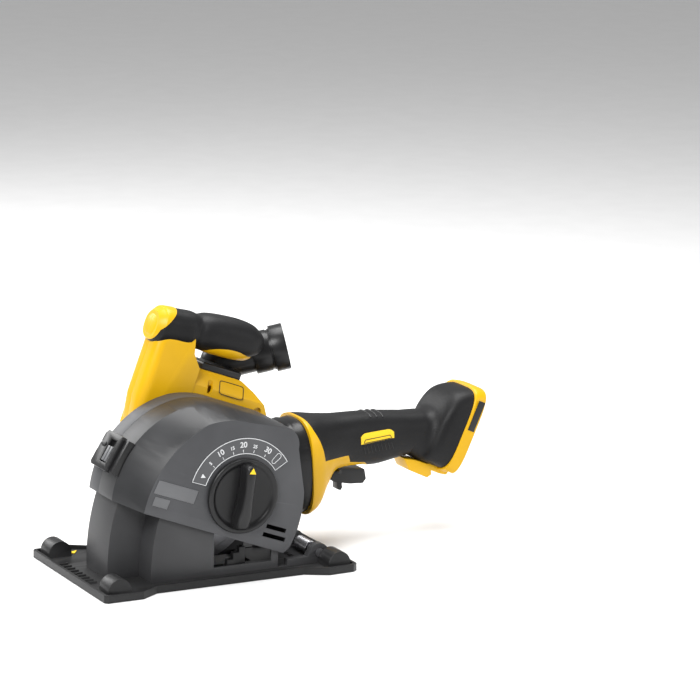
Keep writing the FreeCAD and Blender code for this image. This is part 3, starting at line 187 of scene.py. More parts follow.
def turned_metal(name, colour, rough, scale=900.0):
    """Bright metal with fine machining lines."""
    material, tree, shader = node_tree(name)
    where = tree.nodes.new("ShaderNodeTexCoord")
    lines = tree.nodes.new("ShaderNodeTexWave")
    lines.inputs["Scale"].default_value = scale
    lines.inputs["Distortion"].default_value = 2.0
    link(tree, where, "Object", lines, "Vector")
    slow = noise(tree, where, 60.0)
    dark, light = [v * 0.85 for v in colour] + [1], list(colour) + [1]
    tone = ramp(tree, slow, "Fac", ((0.3, dark), (0.7, light)))
    link(tree, tone, "Color", shader, "Base Color")
    bump = tree.nodes.new("ShaderNodeBump")
    bump.inputs["Strength"].default_value = 0.08
    bump.inputs["Distance"].default_value = 0.0001
    link(tree, lines, "Color", bump, "Height")
    link(tree, bump, "Normal", shader, "Normal")
    shader.inputs["Metallic"].default_value = 1.0
    shader.inputs["Roughness"].default_value = rough
    return material


LOOKS = {
    "guard_grey": moulded("guard_grey_moulded", (0.060, 0.061, 0.065), 0.42, edge_lift=0.25),
    "shoe_black": moulded("shoe_black_moulded", (0.011, 0.011, 0.0115), 0.40, edge_lift=0.25),
    "housing_yellow": moulded("yellow_moulded", (0.66, 0.37, 0.002), 0.34, grain=1800, depth=0.06,
                              vary=0.04, edge_lift=0.1),
    "grip_black": stippled("grip_rubber", (0.007, 0.007, 0.0075), 0.48),
    "black_plastic": moulded("black_moulded", (0.008, 0.008, 0.0085), 0.32, edge_lift=0.15,
                             shine_level=0.3),
    "gear_alloy": moulded("cast_alloy", (0.30, 0.30, 0.31), 0.42, grain=900, depth=0.3, vary=0.1,
                          metal=0.9, shine_level=0.5),
    "steel": turned_metal("bright_steel", (0.55, 0.55, 0.57), 0.28),
    "disc_steel": turned_metal("disc_steel_look", (0.32, 0.32, 0.34), 0.38, 500.0),
    "brass_parts": turned_metal("brass_look", (0.62, 0.40, 0.16), 0.32),
}
SMOOTH_BLACK = moulded("smooth_black", (0.008, 0.008, 0.0085), 0.32, grain=2200, depth=0.05,
                       edge_lift=0.25, shine_level=0.3)
WHITE_INK = moulded("white_ink", (0.62, 0.63, 0.64), 0.5, depth=0.03, vary=0.05, edge_lift=0.0)
BADGE_GREY = moulded("badge_grey", (0.11, 0.112, 0.117), 0.32, depth=0.05, edge_lift=0.2)
# painted shade: a darker grey that stands in for the shade on the cover's slopes and rim
GUARD_PAINTED_SHADE = moulded("guard_painted_shade", (0.024, 0.0245, 0.026), 0.40, edge_lift=0.25)
LOWER_GREY = moulded("lower_guard_grey", (0.036, 0.0362, 0.038), 0.44, edge_lift=0.25)
SIGNAL_YELLOW = moulded("signal_yellow", (0.92, 0.60, 0.02), 0.42, depth=0.04, vary=0.03,
                        edge_lift=0.05)

record = frame["record"]
slot_of = {entry["node"]: entry["material_slot"] for entry in record["subparts"]}
body_of = {node: body for body, nodes in record["behaviour"]["bodies"].items() for node in nodes}
for node, thing in frame["nodes"].items():
    thing.data.materials.clear()
    thing.data.materials.append(LOOKS[slot_of[node]])


# ---------------------------------------------------------------- mesh helpers
def paint(thing, look):
    """Gives a piece one finish and no other."""
    thing.data.materials.clear()
    thing.data.materials.append(look)


def place(name, mesh, body, look):
    """A new piece that moves with a body of the record."""
    thing = bpy.data.objects.new(name, mesh)
    bpy.context.scene.collection.objects.link(thing)
    paint(thing, look)
    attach(thing, body)
    return thing


def steep(edge, degrees):
    """Whether the two faces at an edge meet at more than so many degrees."""
    return edge.is_manifold and edge.calc_face_angle(0) > math.radians(degrees)


def soften(work, width, angle=26.0, limit=38.0):
    """Rounds the sharp edges of a closed mesh and shades the rest smooth."""
    sharp = [edge for edge in work.edges if steep(edge, angle)]
    bmesh.ops.bevel(work, geom=sharp, offset=width, segments=2, profile=0.6,
                    affect="EDGES", clamp_overlap=True)
    work.normal_update()
    for face in work.faces:
        face.smooth = True
    for edge in work.edges:
        edge.smooth = not steep(edge, limit)


def flatten(work):
    """Joins faces that lie in one plane."""
    bmesh.ops.dissolve_limit(work, angle_limit=math.radians(1), verts=work.verts,
                             edges=work.edges)


def skin(node, width):
    """A copy of a CAD node with rounded edges, shown in its place."""
    work = bmesh.new()
    work.from_mesh(frame["nodes"][node].data)
    bmesh.ops.remove_doubles(work, verts=work.verts, dist=2e-6)
    flatten(work)
    soften(work, width * MM)
    mesh = bpy.data.meshes.new(node + "_skin")
    work.to_mesh(mesh)
    work.free()
    thing = place(node + "_skin", mesh, body_of[node], LOOKS[slot_of[node]])
    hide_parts(node)


def squash(value, power):
    """A value raised to a power with its sign kept, for rounded oblongs."""
    return math.copysign(abs(value) ** power, value)


def ring_points(centre, side, up, half_side, half_up, power, count=48):
    """Points of a rounded oval round a centre; power 2 is an ellipse, more is squarer."""
    points = []
    for number in range(count):
        angle = 2 * math.pi * number / count
        c, s = math.cos(angle), math.sin(angle)
        a = squash(c, 2 / power) * half_side
        b = squash(s, 2 / power) * half_up
        points.append(centre + side * a + up * b)
    return points


def blend_rows(rows, steps):
    """Catmull-Rom rows between the given rows of numbers."""
    result = []
    last = len(rows) - 1
    for index in range(last):
        before, after = rows[max(0, index - 1)], rows[min(last, index + 2)]
        for step in range(steps):
            t = step / steps
            result.append([0.5 * (2 * b + (c - a) * t + (2 * a - 5 * b + 4 * c - d) * t * t
                                  + (3 * b - a - 3 * c + d) * t ** 3)
                           for a, b, c, d in zip(before, rows[index], rows[index + 1], after)])
    result.append(list(rows[-1]))
    return result


def loft_mesh(name, rings):
    """A closed skin over rings of points, capped at both ends."""
    work = bmesh.new()
    rows = [[work.verts.new(point) for point in ring] for ring in rings]
    count = len(rows[0])
    for low, high in zip(rows, rows[1:]):
        for number in range(count):
            after = (number + 1) % count
            work.faces.new((low[number], low[after], high[after], high[number]))
    work.faces.new(list(reversed(rows[0])))
    work.faces.new(rows[-1])
    bmesh.ops.recalc_face_normals(work, faces=work.faces)
    for face in work.faces:
        face.smooth = len(face.verts) < 5
    for row in (rows[0], rows[-1]):
        for number in range(count):
            edge = work.edges.get((row[number], row[(number + 1) % count]))
            edge.smooth = False
    mesh = bpy.data.meshes.new(name)
    work.to_mesh(mesh)
    work.free()
    return mesh


def plate_mesh(name, outline, lift, width=0.0):
    """A plate from a closed outline of points, thickened by the vector lift, with soft edges."""
    work = bmesh.new()
    base = [work.verts.new(point) for point in outline]
    top = [work.verts.new(point + lift) for point in outline]
    count = len(outline)
    work.faces.new(base)
    work.faces.new(list(reversed(top)))
    for number in range(count):
        after = (number + 1) % count
        work.faces.new((base[number], top[number], top[after], base[after]))
    bmesh.ops.recalc_face_normals(work, faces=work.faces)
    if width:
        soften(work, width * MM)
    mesh = bpy.data.meshes.new(name)
    work.to_mesh(mesh)
    work.free()
    return mesh


def cut(thing, cutter_mesh, operation):
    """Applies a boolean to a piece and keeps the result as its mesh."""
    cutter = bpy.data.objects.new("cutter", cutter_mesh)
    bpy.context.scene.collection.objects.link(cutter)
    modifier = thing.modifiers.new("cut", "BOOLEAN")
    modifier.operation = operation
    modifier.solver = "EXACT"
    modifier.object = cutter
    graph = bpy.context.evaluated_depsgraph_get()
    result = bpy.data.meshes.new_from_object(thing.evaluated_get(graph))
    thing.modifiers.clear()
    thing.data = result
    bpy.data.objects.remove(cutter)


def baked(name, curve):
    """The mesh of a curve or of a line of text."""
    holder = bpy.data.objects.new(name, curve)
    bpy.context.scene.collection.objects.link(holder)
    graph = bpy.context.evaluated_depsgraph_get()
    mesh = bpy.data.meshes.new_from_object(holder.evaluated_get(graph))
    bpy.data.objects.remove(holder)
    return mesh


def tube(name, points, radius, body, look, closed=False):
    """A thin round bead along points."""
    curve = bpy.data.curves.new(name, "CURVE")
    curve.dimensions = "3D"
    curve.bevel_depth = radius * MM
    curve.bevel_resolution = 2
    line = curve.splines.new("POLY")
    line.points.add(len(points) - 1)
    for spot, point in zip(line.points, points):
        spot.co = (*point, 1)
    line.use_cyclic_u = closed
    mesh = baked(name + "_path", curve)
    for face in mesh.polygons:
        face.use_smooth = True
    mesh.name = name
    return place(name, mesh, body, look)


# ---------------------------------------------------------------- CAD shapes with softened edges
# the width of the rounding on each node's edges, in mm
WIDTHS = {"guard_cover": 0.9, "guard_housing": 0.9, "lower_guard": 0.6, "shoe_plate": 0.7,
          "latch_base": 0.4, "latch_catch": 0.6,
          "front_housing_near": 1.4, "front_housing_far": 1.4, "dust_port": 0.8,
          "dust_outlet": 0.8,
          "motor_front": 0.5, "motor_baffle": 0.5, "trigger_paddle": 1.2, "lock_off_lever": 0.4,
          "gear_case": 0.6, "gear_case_cap": 0.6, "depth_stop": 0.4, "depth_cam": 0.4,
          "roller_front_near": 0.4, "roller_front_far": 0.4, "roller_rear_near": 0.4,
          "roller_rear_far": 0.4, "spindle_lock_button": 0.6}
for node, width in WIDTHS.items():
    skin(node, width)

for node in ("trigger_pin", "lock_off_pin"):
    frame["nodes"][node].data.materials[0] = SMOOTH_BLACK
bpy.data.objects["latch_base_skin"].data.materials[0] = BADGE_GREY
bpy.data.objects["lower_guard_skin"].data.materials[0] = LOWER_GREY
for node in ("motor_front", "motor_baffle"):
    bpy.data.objects[node + "_skin"].data.materials[0] = SMOOTH_BLACK
# the cover's flat near face keeps its grey, and its slopes and rim get a darker grey as painted
# shade
FLAT_FACE = -0.985
cover_mesh = bpy.data.objects["guard_cover_skin"].data
cover_mesh.materials.append(GUARD_PAINTED_SHADE)
# faces that turn away from the near side get the painted shade
for face in cover_mesh.polygons:
    face.material_index = 0 if face.normal.y < FLAT_FACE else 1


# ---------------------------------------------------------------- latch over the parting line
LATCH_TURN = math.radians(11)
SEAT = -92.5        # the latch's seat, measured from the arbor


def latch_point(x, y, z):
    """A point of the latch: -x outwards from the rim, y across it, z up along it."""
    c, s = math.cos(LATCH_TURN), math.sin(LATCH_TURN)
    return tool(ARBOR_U + x * c + z * s, y, ARBOR_W - x * s + z * c)


LATCH_OUT = latch_point(-1, 0, 0) - latch_point(0, 0, 0)


def latch_plate(name, x, outline, thick, width):
    """A flat piece of the latch from its outline (y, z)."""
    return plate_mesh(name, [latch_point(x, y, z) for y, z in outline], LATCH_OUT * thick, width)


def block(y0, y1, z0, z1):
    """The four corners of an upright oblong."""
    return ((y0, z0), (y1, z0), (y1, z1), (y0, z1))


PLATE = ((-21.5, -15.0), (-19.5, -17.3), (10.0, -17.3), (13.4, -15.5), (13.4, -3.0),
         (11.4, -1.0), (11.4, 15.3), (9.4, 17.3), (-19.5, 17.3), (-21.5, 15.0))
lever = place("latch_plate", latch_plate("latch_plate", SEAT - 1.6, PLATE, 5.9, 0), "latch",
              SMOOTH_BLACK)
WINDOW = block(-14.0, -2.5, -11.0, 11.0)
cut(lever, latch_plate("latch_window", SEAT - 4.2, WINDOW, 8.0, 0), "DIFFERENCE")
work = bmesh.new()
work.from_mesh(lever.data)
flatten(work)
soften(work, 0.9 * MM)
work.to_mesh(lever.data)
work.free()
paint(lever, SMOOTH_BLACK)
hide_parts("latch_lever")
capsule = [(5.0 + 4.2 * squash(math.cos(k * math.pi / 10), 0.6),
            4.0 + 2.3 * squash(math.sin(k * math.pi / 10), 0.8)) for k in range(20)]
place("latch_bump", latch_plate("latch_bump", SEAT - 7.4, capsule, 0.9, 0.4), "latch",
      SMOOTH_BLACK)
for number, (low, high) in enumerate(((-14.2, -5.2), (5.2, 14.2))):
    rings = [ring_points(latch_point(SEAT - 2.6, 15.5, z), SIDE, LATCH_OUT, r, r, 2, 28)
             for z, r in ((low, 2.3), (low + 0.5, 2.8), (high - 0.5, 2.8), (high, 2.3))]
    place("latch_knuckle_%d" % number, loft_mesh("latch_knuckle", rings), "latch",
          SMOOTH_BLACK)
    arm = latch_plate("latch_arm", SEAT - 2.2, block(10.5, 15.0, low + 0.3, high - 0.3), 3.0, 0.3)
    place("latch_arm_%d" % number, arm, "latch", SMOOTH_BLACK)
slide_mesh = latch_plate("latch_slide_base", SEAT - 4.3, block(-13.4, -3.1, -10.2, 5.2), 0.9, 0.2)
slider = place("latch_slide_base", slide_mesh, "latch_slide", SMOOTH_BLACK)
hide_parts("latch_slider")
for number, (y0, y1) in enumerate(((-13.0, -9.0), (-7.8, -3.6))):
    ridge = latch_plate("latch_slide_ridge", SEAT - 5.1, block(y0, y1, -9.8, 4.8), 2.4, 0.5)
    place("latch_slide_ridge_%d" % number, ridge, "latch_slide", BADGE_GREY)


# ---------------------------------------------------------------- dial knob
def dial_point(across, along, depth):
    """A point of the knob, across and along its grip bar, in front of the dial face."""
    turn = math.radians(7)
    centre = tool(DIAL_U, PANEL_Y - depth, DIAL_W)
    return centre + Vector((across * math.cos(turn) + along * math.sin(turn), 0,
                            along * math.cos(turn) - across * math.sin(turn))) * MM


# (radius, depth) of the turned knob, from the middle of its back out and round to its front
PROFILE = [(0.5, 0.6), (34.0, 0.6), (34.8, 1.2), (34.8, 3.6), (34.4, 4.5), (33.4, 5.0),
           (31.4, 5.0), (30.2, 4.6), (29.2, 3.6), (28.4, 2.9), (26.6, 2.6), (0.5, 2.6)]
KNOB_SIDES = 96
knob = bmesh.new()
columns = []
for number in range(KNOB_SIDES):
    angle = 2 * math.pi * number / KNOB_SIDES
    columns.append([knob.verts.new(dial_point(r * math.cos(angle), r * math.sin(angle), d))
                    for r, d in PROFILE])
for column, after in zip(columns, columns[1:] + columns[:1]):
    for number in range(len(PROFILE) - 1):
        knob.faces.new((column[number], column[number + 1], after[number + 1], after[number]))
for number in (0, -1):
    knob.faces.new([column[number] for column in columns])
bmesh.ops.recalc_face_normals(knob, faces=knob.faces)
for face in knob.faces:
    face.smooth = len(face.verts) == 4
knob_mesh = bpy.data.meshes.new("knob_body")
knob.to_mesh(knob_mesh)
knob.free()
knob_piece = place("knob_body", knob_mesh, "dial", SMOOTH_BLACK)
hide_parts("depth_knob")
# (place along the bar, half width, height) and then one half of its section, foot to crest
BAR = [(-31.4, 2.2, 3.4), (-30.6, 4.6, 7.6), (-28.0, 6.0, 11.6), (-20.0, 6.4, 14.6),
       (-8.0, 5.0, 16.2), (6.0, 4.3, 16.6), (18.0, 4.5, 16.4), (26.0, 5.0, 15.2),
       (29.4, 4.4, 12.2), (31.2, 2.4, 5.6)]
FLANK = [(1.32, 0.0), (1.18, 0.35), (1.0, 0.72), (0.8, 0.93), (0.45, 1.0)]
BAR_FOOT = 2.4
SECTION = [(-across, share) for across, share in FLANK] + FLANK[::-1]
bar_rings = [[dial_point(across * half, along, max(share * height, BAR_FOOT))
              for across, share in SECTION] for along, half, height in blend_rows(BAR, 4)]
place("knob_bar", loft_mesh("knob_bar", bar_rings), "dial", SMOOTH_BLACK)
tip = [dial_point(0, 28.6, 0), dial_point(3.0, 23.4, 0), dial_point(-3.0, 23.4, 0)]
arrow_mesh = plate_mesh("knob_arrow", [point - SIDE * 15.6 for point in tip], SIDE * -1.0, 0.1)
pointer = place("knob_arrow", arrow_mesh, "dial", SIGNAL_YELLOW)
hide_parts("knob_pointer")


# ---------------------------------------------------------------- dial scale
def on_panel(radius, angle, height):
    """A point of the dial face; angle in degrees, anticlockwise from the rear."""
    centre = tool(DIAL_U, PANEL_Y - height, DIAL_W)
    turn = math.radians(angle)
    return centre + Vector((math.cos(turn), 0, math.sin(turn))) * radius * MM


INNER, OUTER = 38.7, 52.8
FIRST, LAST = 31.0, 160.5
SCALE_FACE = 0.55           # how far the scale stands above the panel
ARC_STEPS = 60
STEP_ANGLES = [(LAST - FIRST) * k / ARC_STEPS for k in range(ARC_STEPS + 1)]
path = [on_panel(OUTER, FIRST + angle, SCALE_FACE) for angle in STEP_ANGLES]
path += [on_panel(INNER, LAST - angle, SCALE_FACE) for angle in STEP_ANGLES]
tube("scale_outline", path, 0.38, "cover", WHITE_INK, closed=True)
MARKS = {5: 134, 10: 118, 15: 103, 20: 89, 25: 74, 30: 57}      # depth in mm: angle
TICK_START, TICK_LONG, LINE = 40.0, 2.6, 0.32


def lettering(name, text, radius, angle, size):
    """A number on the scale, upright along the radius through it."""
    font = bpy.data.curves.new(name, "FONT")
    font.body = text
    font.size = size * MM
    font.extrude = 0.00012
    font.offset = 0.00012
    font.align_x = "CENTER"
    font.align_y = "CENTER"
    mesh = baked(name + "_type", font)
    turn = Matrix.Rotation(math.radians(angle - 90), 4, Vector((0, -1, 0)))
    stand = Matrix.Rotation(math.radians(90), 4, "X")
    mesh.transform(Matrix.Translation(on_panel(radius, angle, SCALE_FACE + 0.1)) @ turn @ stand)
    mesh.name = name
    place(name, mesh, "cover", WHITE_INK)


for number, angle in MARKS.items():
    radius, size = (46.8, 7.2) if number % 10 == 0 else (45.8, 4.4)
    lettering("scale_%d" % number, str(number), radius, angle, size)
    ends = [on_panel(r, angle, SCALE_FACE) for r in (TICK_START, TICK_START + TICK_LONG)]
    tube("scale_tick_%d" % number, ends, LINE, "cover", WHITE_INK)
ARROW = ((42.0, 151.0), (46.5, 148.5), (46.5, 153.5))
arrow = [on_panel(r, angle, SCALE_FACE) for r, angle in ARROW]
place("park_mark", plate_mesh("park_mark", arrow, Vector((0, -0.0003, 0))), "cover",
      WHITE_INK)
CAPSULE_R, CAPSULE_ANGLE, CAPSULE_HALF, CAPSULE_STRETCH = 46.0, 42.0, 2.3, 3.2
capsule = []
for k in range(24):
    turn = 2 * math.pi * k / 24
    stretch = CAPSULE_STRETCH * (1 if math.sin(turn) > 0 else -1)
    capsule.append((CAPSULE_R + CAPSULE_HALF * math.sin(turn) + stretch,
                    CAPSULE_ANGLE + math.degrees(CAPSULE_HALF * math.cos(turn) / CAPSULE_R)))
tube("full_depth_mark", [on_panel(r, a, SCALE_FACE) for r, a in capsule], LINE, "cover",
     WHITE_INK, True)

# raised blank badges on the panel, where a name plate and a small plate would be
BADGES = (("blank_badge", ((-185.5, 12.5), (-184.0, 25.0), (-143.0, 25.0), (-143.5, 12.5)),
           -0.0006, 0.25),
          ("small_badge", ((-183.0, 1.5), (-182.5, 10.0), (-167.0, 10.0), (-167.5, 1.5)),
           -0.0005, 0.2))
for name, corners, lift, rounding in BADGES:
    outline = [tool(u, PANEL_Y, w) for u, w in corners]
    place(name, plate_mesh(name, outline, Vector((0, lift, 0)), rounding), "cover",
          BADGE_GREY)

# ---------------------------------------------------------------- front handle sleeve
# rows of (u, w of the middle, half width, half height), front to rear
SLEEVE = [(-191.6, 149.8, 12.6, 12.1), (-190.4, 150.0, 14.8, 14.1), (-187.6, 150.6, 17.4, 16.0),
          (-184.6, 151.3, 18.8, 17.3), (-172, 153.0, 18.7, 17.2), (-158, 154.5, 18.9, 17.3),
          (-151.5, 155.4, 17.0, 15.8), (-148, 156.0, 16.6, 15.4), (-141, 157.0, 19.5, 17.2),
          (-128, 158.4, 20.8, 18.0), (-109, 159.8, 20.9, 18.0), (-95, 160.4, 19.4, 16.6),
          (-86, 160.6, 15.6, 13.2), (-80, 160.4, 11.0, 9.4), (-77, 160.2, 6.0, 5.0)]
UNDER = [(-140, 150.5, 7.0, 9.6), (-134, 150.0, 13.0, 10.6), (-120, 150.8, 15.5, 11.2),
         (-105, 151.4, 15.0, 11.2), (-94, 152.2, 11.5, 10.4), (-87, 153.5, 6.0, 8.6)]
SLEEVE_POWER, SLEEVE_COUNT = 2.35, 56
OFF_CENTRE = 3      # the screw hole and the underside lie this much nearer than the motor axis


def handle_mesh(name, rows, y, power, count, more=0):
    """A smooth skin along the front handle, thicker by so many mm all round."""
    return loft_mesh(name, [ring_points(tool(u, y, middle), SIDE, TOOL_UP, half_y + more,
                                        half_up + more, power, count)
                            for u, middle, half_y, half_up in blend_rows(rows, 5)])


def oval(centre, half_u, half_w):
    """Two dozen points of an ellipse, from the two co-ordinates of its middle."""
    return [(centre[0] + half_u * math.cos(k * math.pi / 12),
             centre[1] + half_w * math.sin(k * math.pi / 12)) for k in range(24)]


sleeve_mesh = handle_mesh("handle_sleeve", SLEEVE, MOTOR_Y, SLEEVE_POWER, SLEEVE_COUNT)
sleeve = place("handle_sleeve", sleeve_mesh, "upper", LOOKS["grip_black"])
hole = [tool(u, y, 171) for u, y in oval((-112, MOTOR_Y - OFF_CENTRE), 3.2, 3.2)]
cut(sleeve, plate_mesh("hole_cut", hole, tool(0, 0, 12) - tool(0, 0, 0)), "DIFFERENCE")
paint(sleeve, LOOKS["grip_black"])
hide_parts("front_grip")
place("handle_underside", handle_mesh("handle_underside", UNDER, MOTOR_Y - OFF_CENTRE, 2.2, 40),
      "upper", LOOKS["housing_yellow"])

# ---------------------------------------------------------------- motor cover, grip and foot
MOTOR_UP = motor(0, 0, 1) - motor(0, 0, 0)
FOOT = motor(303.6, MOTOR_Y, 7.1)
FOOT_OUT = motor(0.894, 0, -0.447) - motor(0, 0, 0)
FOOT_UP = motor(0.447, 0, 0.894) - motor(0, 0, 0)


# rows of (place along, low, high, half width, power): along the motor axis, then along the foot
STRAIGHT = [(128, -47, 47, 37.5, 3.2), (131, -46.8, 47, 37.4, 3.2), (140, -42, 46.2, 35.2, 3.0),
            (149, -28, 44.8, 30.6, 2.8), (160, -13, 43.2, 26.6, 2.6), (172, -9.5, 42.0, 23.4, 2.5),
            (190, -10.5, 41.0, 21.4, 2.5), (210, -12, 39.4, 20.8, 2.5),
            (230, -9.6, 36.6, 20.4, 2.5), (244, -8.0, 34.4, 20.6, 2.5)]
FLARED = [(-50, -39.0, 4, 20.9, 2.5), (-43, -40.0, 6.5, 21.6, 2.6), (-38, -40.4, 12, 24.6, 2.8),
          (-34.5, -40.5, 23, 29.2, 3.3), (-29.5, -40.5, 31.8, 31.8, 3.7),
          (-22, -40.5, 37.4, 32.6, 4.0), (-13, -40.4, 41.6, 33.0, 4.2)]
FOOT_ROWS = [(-13.0, -40.4, 42.6, 33.0, 4.2), (-12.0, -42.0, 44.0, 33.8, 4.6),
             (-3.0, -43.0, 45.6, 34.0, 4.8), (-1.2, -42.6, 45.2, 33.6, 4.8),
             (0.0, -41.4, 44.0, 32.4, 4.6)]


def foot_rings(rows, steps, count):
    """Rings across the flared end, from rows measured along the foot's own axis."""
    return [ring_points(FOOT + FOOT_OUT * out + FOOT_UP * (low + high) / 2, SIDE, FOOT_UP, half,
                        (high - low) / 2, power, count)
            for out, low, high, half, power in blend_rows(rows, steps)]


def grip_rings():
    """Rings from the motor through the grip to the flared end."""
    straight = [ring_points(motor(x, MOTOR_Y, (low + high) / 2), SIDE, MOTOR_UP, half,
                            (high - low) / 2, power, 64)
                for x, low, high, half, power in blend_rows(STRAIGHT, 4)]
    return straight + foot_rings(FLARED, 4, 64)


def side_prism(name, outline, y0, y1):
    """A cutter: an outline seen from the side, run across from y0 to y1."""
    corners = [motor(x, y0, z) for x, z in outline]
    return plate_mesh(name, corners, Vector((0, (y1 - y0) * MM, 0)))


# the line between yellow and black on the grip, closed round the yellow side
SPLIT = [(120, 70), (129.5, 60), (130.5, 48), (133.5, 38), (138, 28), (141.2, 18), (143.2, 7.6),
         (158, 6.6), (173.5, 5.9), (177, -1.9), (186, -3.8), (194, -5.4), (198, -8.5),
         (200, -12.0), (200, -40), (168, -70), (120, -70)]
TRIGGER_GAP = [(150, -60), (150, -22), (153, -15), (158.5, -9.5), (166, -6.2), (176, -4.4),
               (186, -6.5), (197.5, -9.6), (201.5, -13), (206, -60)]
GAP_HALF = 12.3
shell = place("grip_cover", loft_mesh("grip_cover", grip_rings()), "upper",
              LOOKS["grip_black"])
yellow = place("motor_cover", shell.data.copy(), "upper",
               LOOKS["housing_yellow"])
for thing, look, side_kept in ((shell, LOOKS["grip_black"], "DIFFERENCE"),
                               (yellow, LOOKS["housing_yellow"], "INTERSECT")):
    cut(thing, side_prism("split", SPLIT, -30, 110), side_kept)
    gap = side_prism("trigger_gap", TRIGGER_GAP, MOTOR_Y - GAP_HALF, MOTOR_Y + GAP_HALF)
    cut(thing, gap, "DIFFERENCE")
    work = bmesh.new()
    work.from_mesh(thing.data)
    bmesh.ops.remove_doubles(work, verts=work.verts, dist=2e-5)
    soften(work, 0.5 * MM, angle=45, limit=50)
    work.to_mesh(thing.data)
    work.free()
    paint(thing, look)
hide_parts("grip_overmold")
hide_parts("motor_shell_near", "motor_shell_far")

foot = place("foot_cover", loft_mesh("foot_cover", foot_rings(FOOT_ROWS, 3, 80)), "upper",
             LOOKS["housing_yellow"])


def foot_box(name, o0, o1, y0, y1, h0, h1):
    """A box in the foot's own axes: out of it, across it and up it."""
    outline = [FOOT + FOOT_OUT * o + SIDE * y + FOOT_UP * h0 for o, y in block(o0, o1, y0, y1)]
    return plate_mesh(name, outline, FOOT_UP * (h1 - h0))


cut(foot, foot_box("pocket", -8, 4, -25, 25, -48, 35), "DIFFERENCE")
paint(foot, LOOKS["housing_yellow"])
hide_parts("battery_foot")
for name, middle in (("foot_rail_near", -22.5), ("foot_rail_far", 22.5)):
    rail = foot_box("foot_rail", -2.6, -0.4, middle - 3, middle + 3, -35, 35)
    place(name, rail, "upper", SMOOTH_BLACK)
badge = [FOOT + FOOT_OUT * o + SIDE * -33.6 + FOOT_UP * h for o, h in block(-10.0, -3.0, 4, 34)]
place("foot_badge", plate_mesh("foot_badge", badge, SIDE * -0.9, 0.2), "upper",
      SMOOTH_BLACK)

# ---------------------------------------------------------------- trim on the grip and the deck
grip_tree = BVHTree.FromObject(shell, bpy.context.evaluated_depsgraph_get())


def on_grip(x, z, proud):
    """A point of the grip's near side, found by looking along +Y."""
    start = motor(x, -60, z)
    hit = grip_tree.ray_cast(start, Vector((0, 1, 0)))[0]
    return (hit or motor(x, MOTOR_Y - 20, z)) - SIDE * proud


def over_grip(x, y, proud):
    """A point of the grip's top, found by looking down."""
    hit = grip_tree.ray_cast(motor(x, y, 90), -MOTOR_UP.normalized())[0]
    return (hit or motor(x, y, 40)) + MOTOR_UP * proud


def along_path(corners, steps):
    """Points spread evenly along each side of a closed outline."""
    points = []
    for number, (x, z) in enumerate(corners):
        x_next, z_next = corners[(number + 1) % len(corners)]
        for step in range(steps):
            share = step / steps
            points.append((x + (x_next - x) * share, z + (z_next - z) * share))
    return points


# the yellow stripe: two layers of points over the grip, joined round their rims
STRIPE_STEPS = 19
END_DROP = (3.2, 1.2, 0.3, 0.0)     # how far the top edge drops at each end, step by step
patch = bmesh.new()
layers = []
for proud in (0.55, -0.4):
    rows = []
    for step in range(STRIPE_STEPS):
        x = 187.5 + 2.0 * step
        end = min(step, STRIPE_STEPS - 1 - step)
        low, high = 14.2 + 0.07 * step, 24.4 - END_DROP[min(end, 3)]
        rows.append([patch.verts.new(on_grip(x, low + (high - low) * share, proud))
                     for share in (0, 0.33, 0.66, 1)])
    layers.append(rows)
for rows in layers:
    for row, after in zip(rows, rows[1:]):
        for number in range(3):
            patch.faces.new((row[number], row[number + 1], after[number + 1], after[number]))
rims = [[row[0] for row in rows] + list(rows[-1][1:3]) + [row[3] for row in reversed(rows)]
        + [rows[0][2], rows[0][1]] for rows in layers]
for number in range(len(rims[0])):
    after = (number + 1) % len(rims[0])
    patch.faces.new((rims[0][number], rims[0][after], rims[1][after], rims[1][number]))
bmesh.ops.recalc_face_normals(patch, faces=patch.faces)
patch_mesh = bpy.data.meshes.new("grip_stripe")
patch.to_mesh(patch_mesh)
patch.free()
place("grip_stripe", patch_mesh, "upper", SIGNAL_YELLOW)
dark = along_path(((190.5, 15.0), (192.0, 18.2), (219.0, 18.8), (221.0, 15.8)), 12)
tube("grip_stripe_line", [on_grip(x, z, 0.6) for x, z in dark], 0.35, "upper",
     SMOOTH_BLACK, True)
for number in range(9):
    x = 190 + 3.8 * number
    line = [on_grip(x + 0.5 * step, 12.0 - 1.5 * step, -0.05) for step in range(6)]
    tube("grip_rib_%d" % number, line, 0.5, "upper", SMOOTH_BLACK)
hook = [(237.5, -9.0), (243, -21.5), (262.5, -32.0), (267.5, -29.5), (267.0, -25.5), (276, -30.0),
        (283.5, -32.5), (287, -28.5), (284.5, -22.5), (262, -17.5), (249, -12.0)]
hook_mesh = plate_mesh("foot_hook", [motor(x, 24, z) for x, z in hook], SIDE * 26, 1.2)
place("foot_hook", hook_mesh, "upper", LOOKS["housing_yellow"])
for number, x in enumerate((203, 209.5, 216)):
    groove = [over_grip(x, MOTOR_Y - 13 + 2 * step, -0.1) for step in range(14)]
    tube("thumb_rib_%d" % number, groove, 0.9, "upper", SMOOTH_BLACK)

DECK_LOW_W, DECK_LOW_Y = 108, 22.3 - 1
DECK_RISE, DECK_DEPTH = 25, 14.5


def on_deck(u, w, proud):
    """A point of the deck's sloping near shoulder."""
    return tool(u, DECK_LOW_Y + DECK_DEPTH * (w - DECK_LOW_W) / DECK_RISE - proud, w)


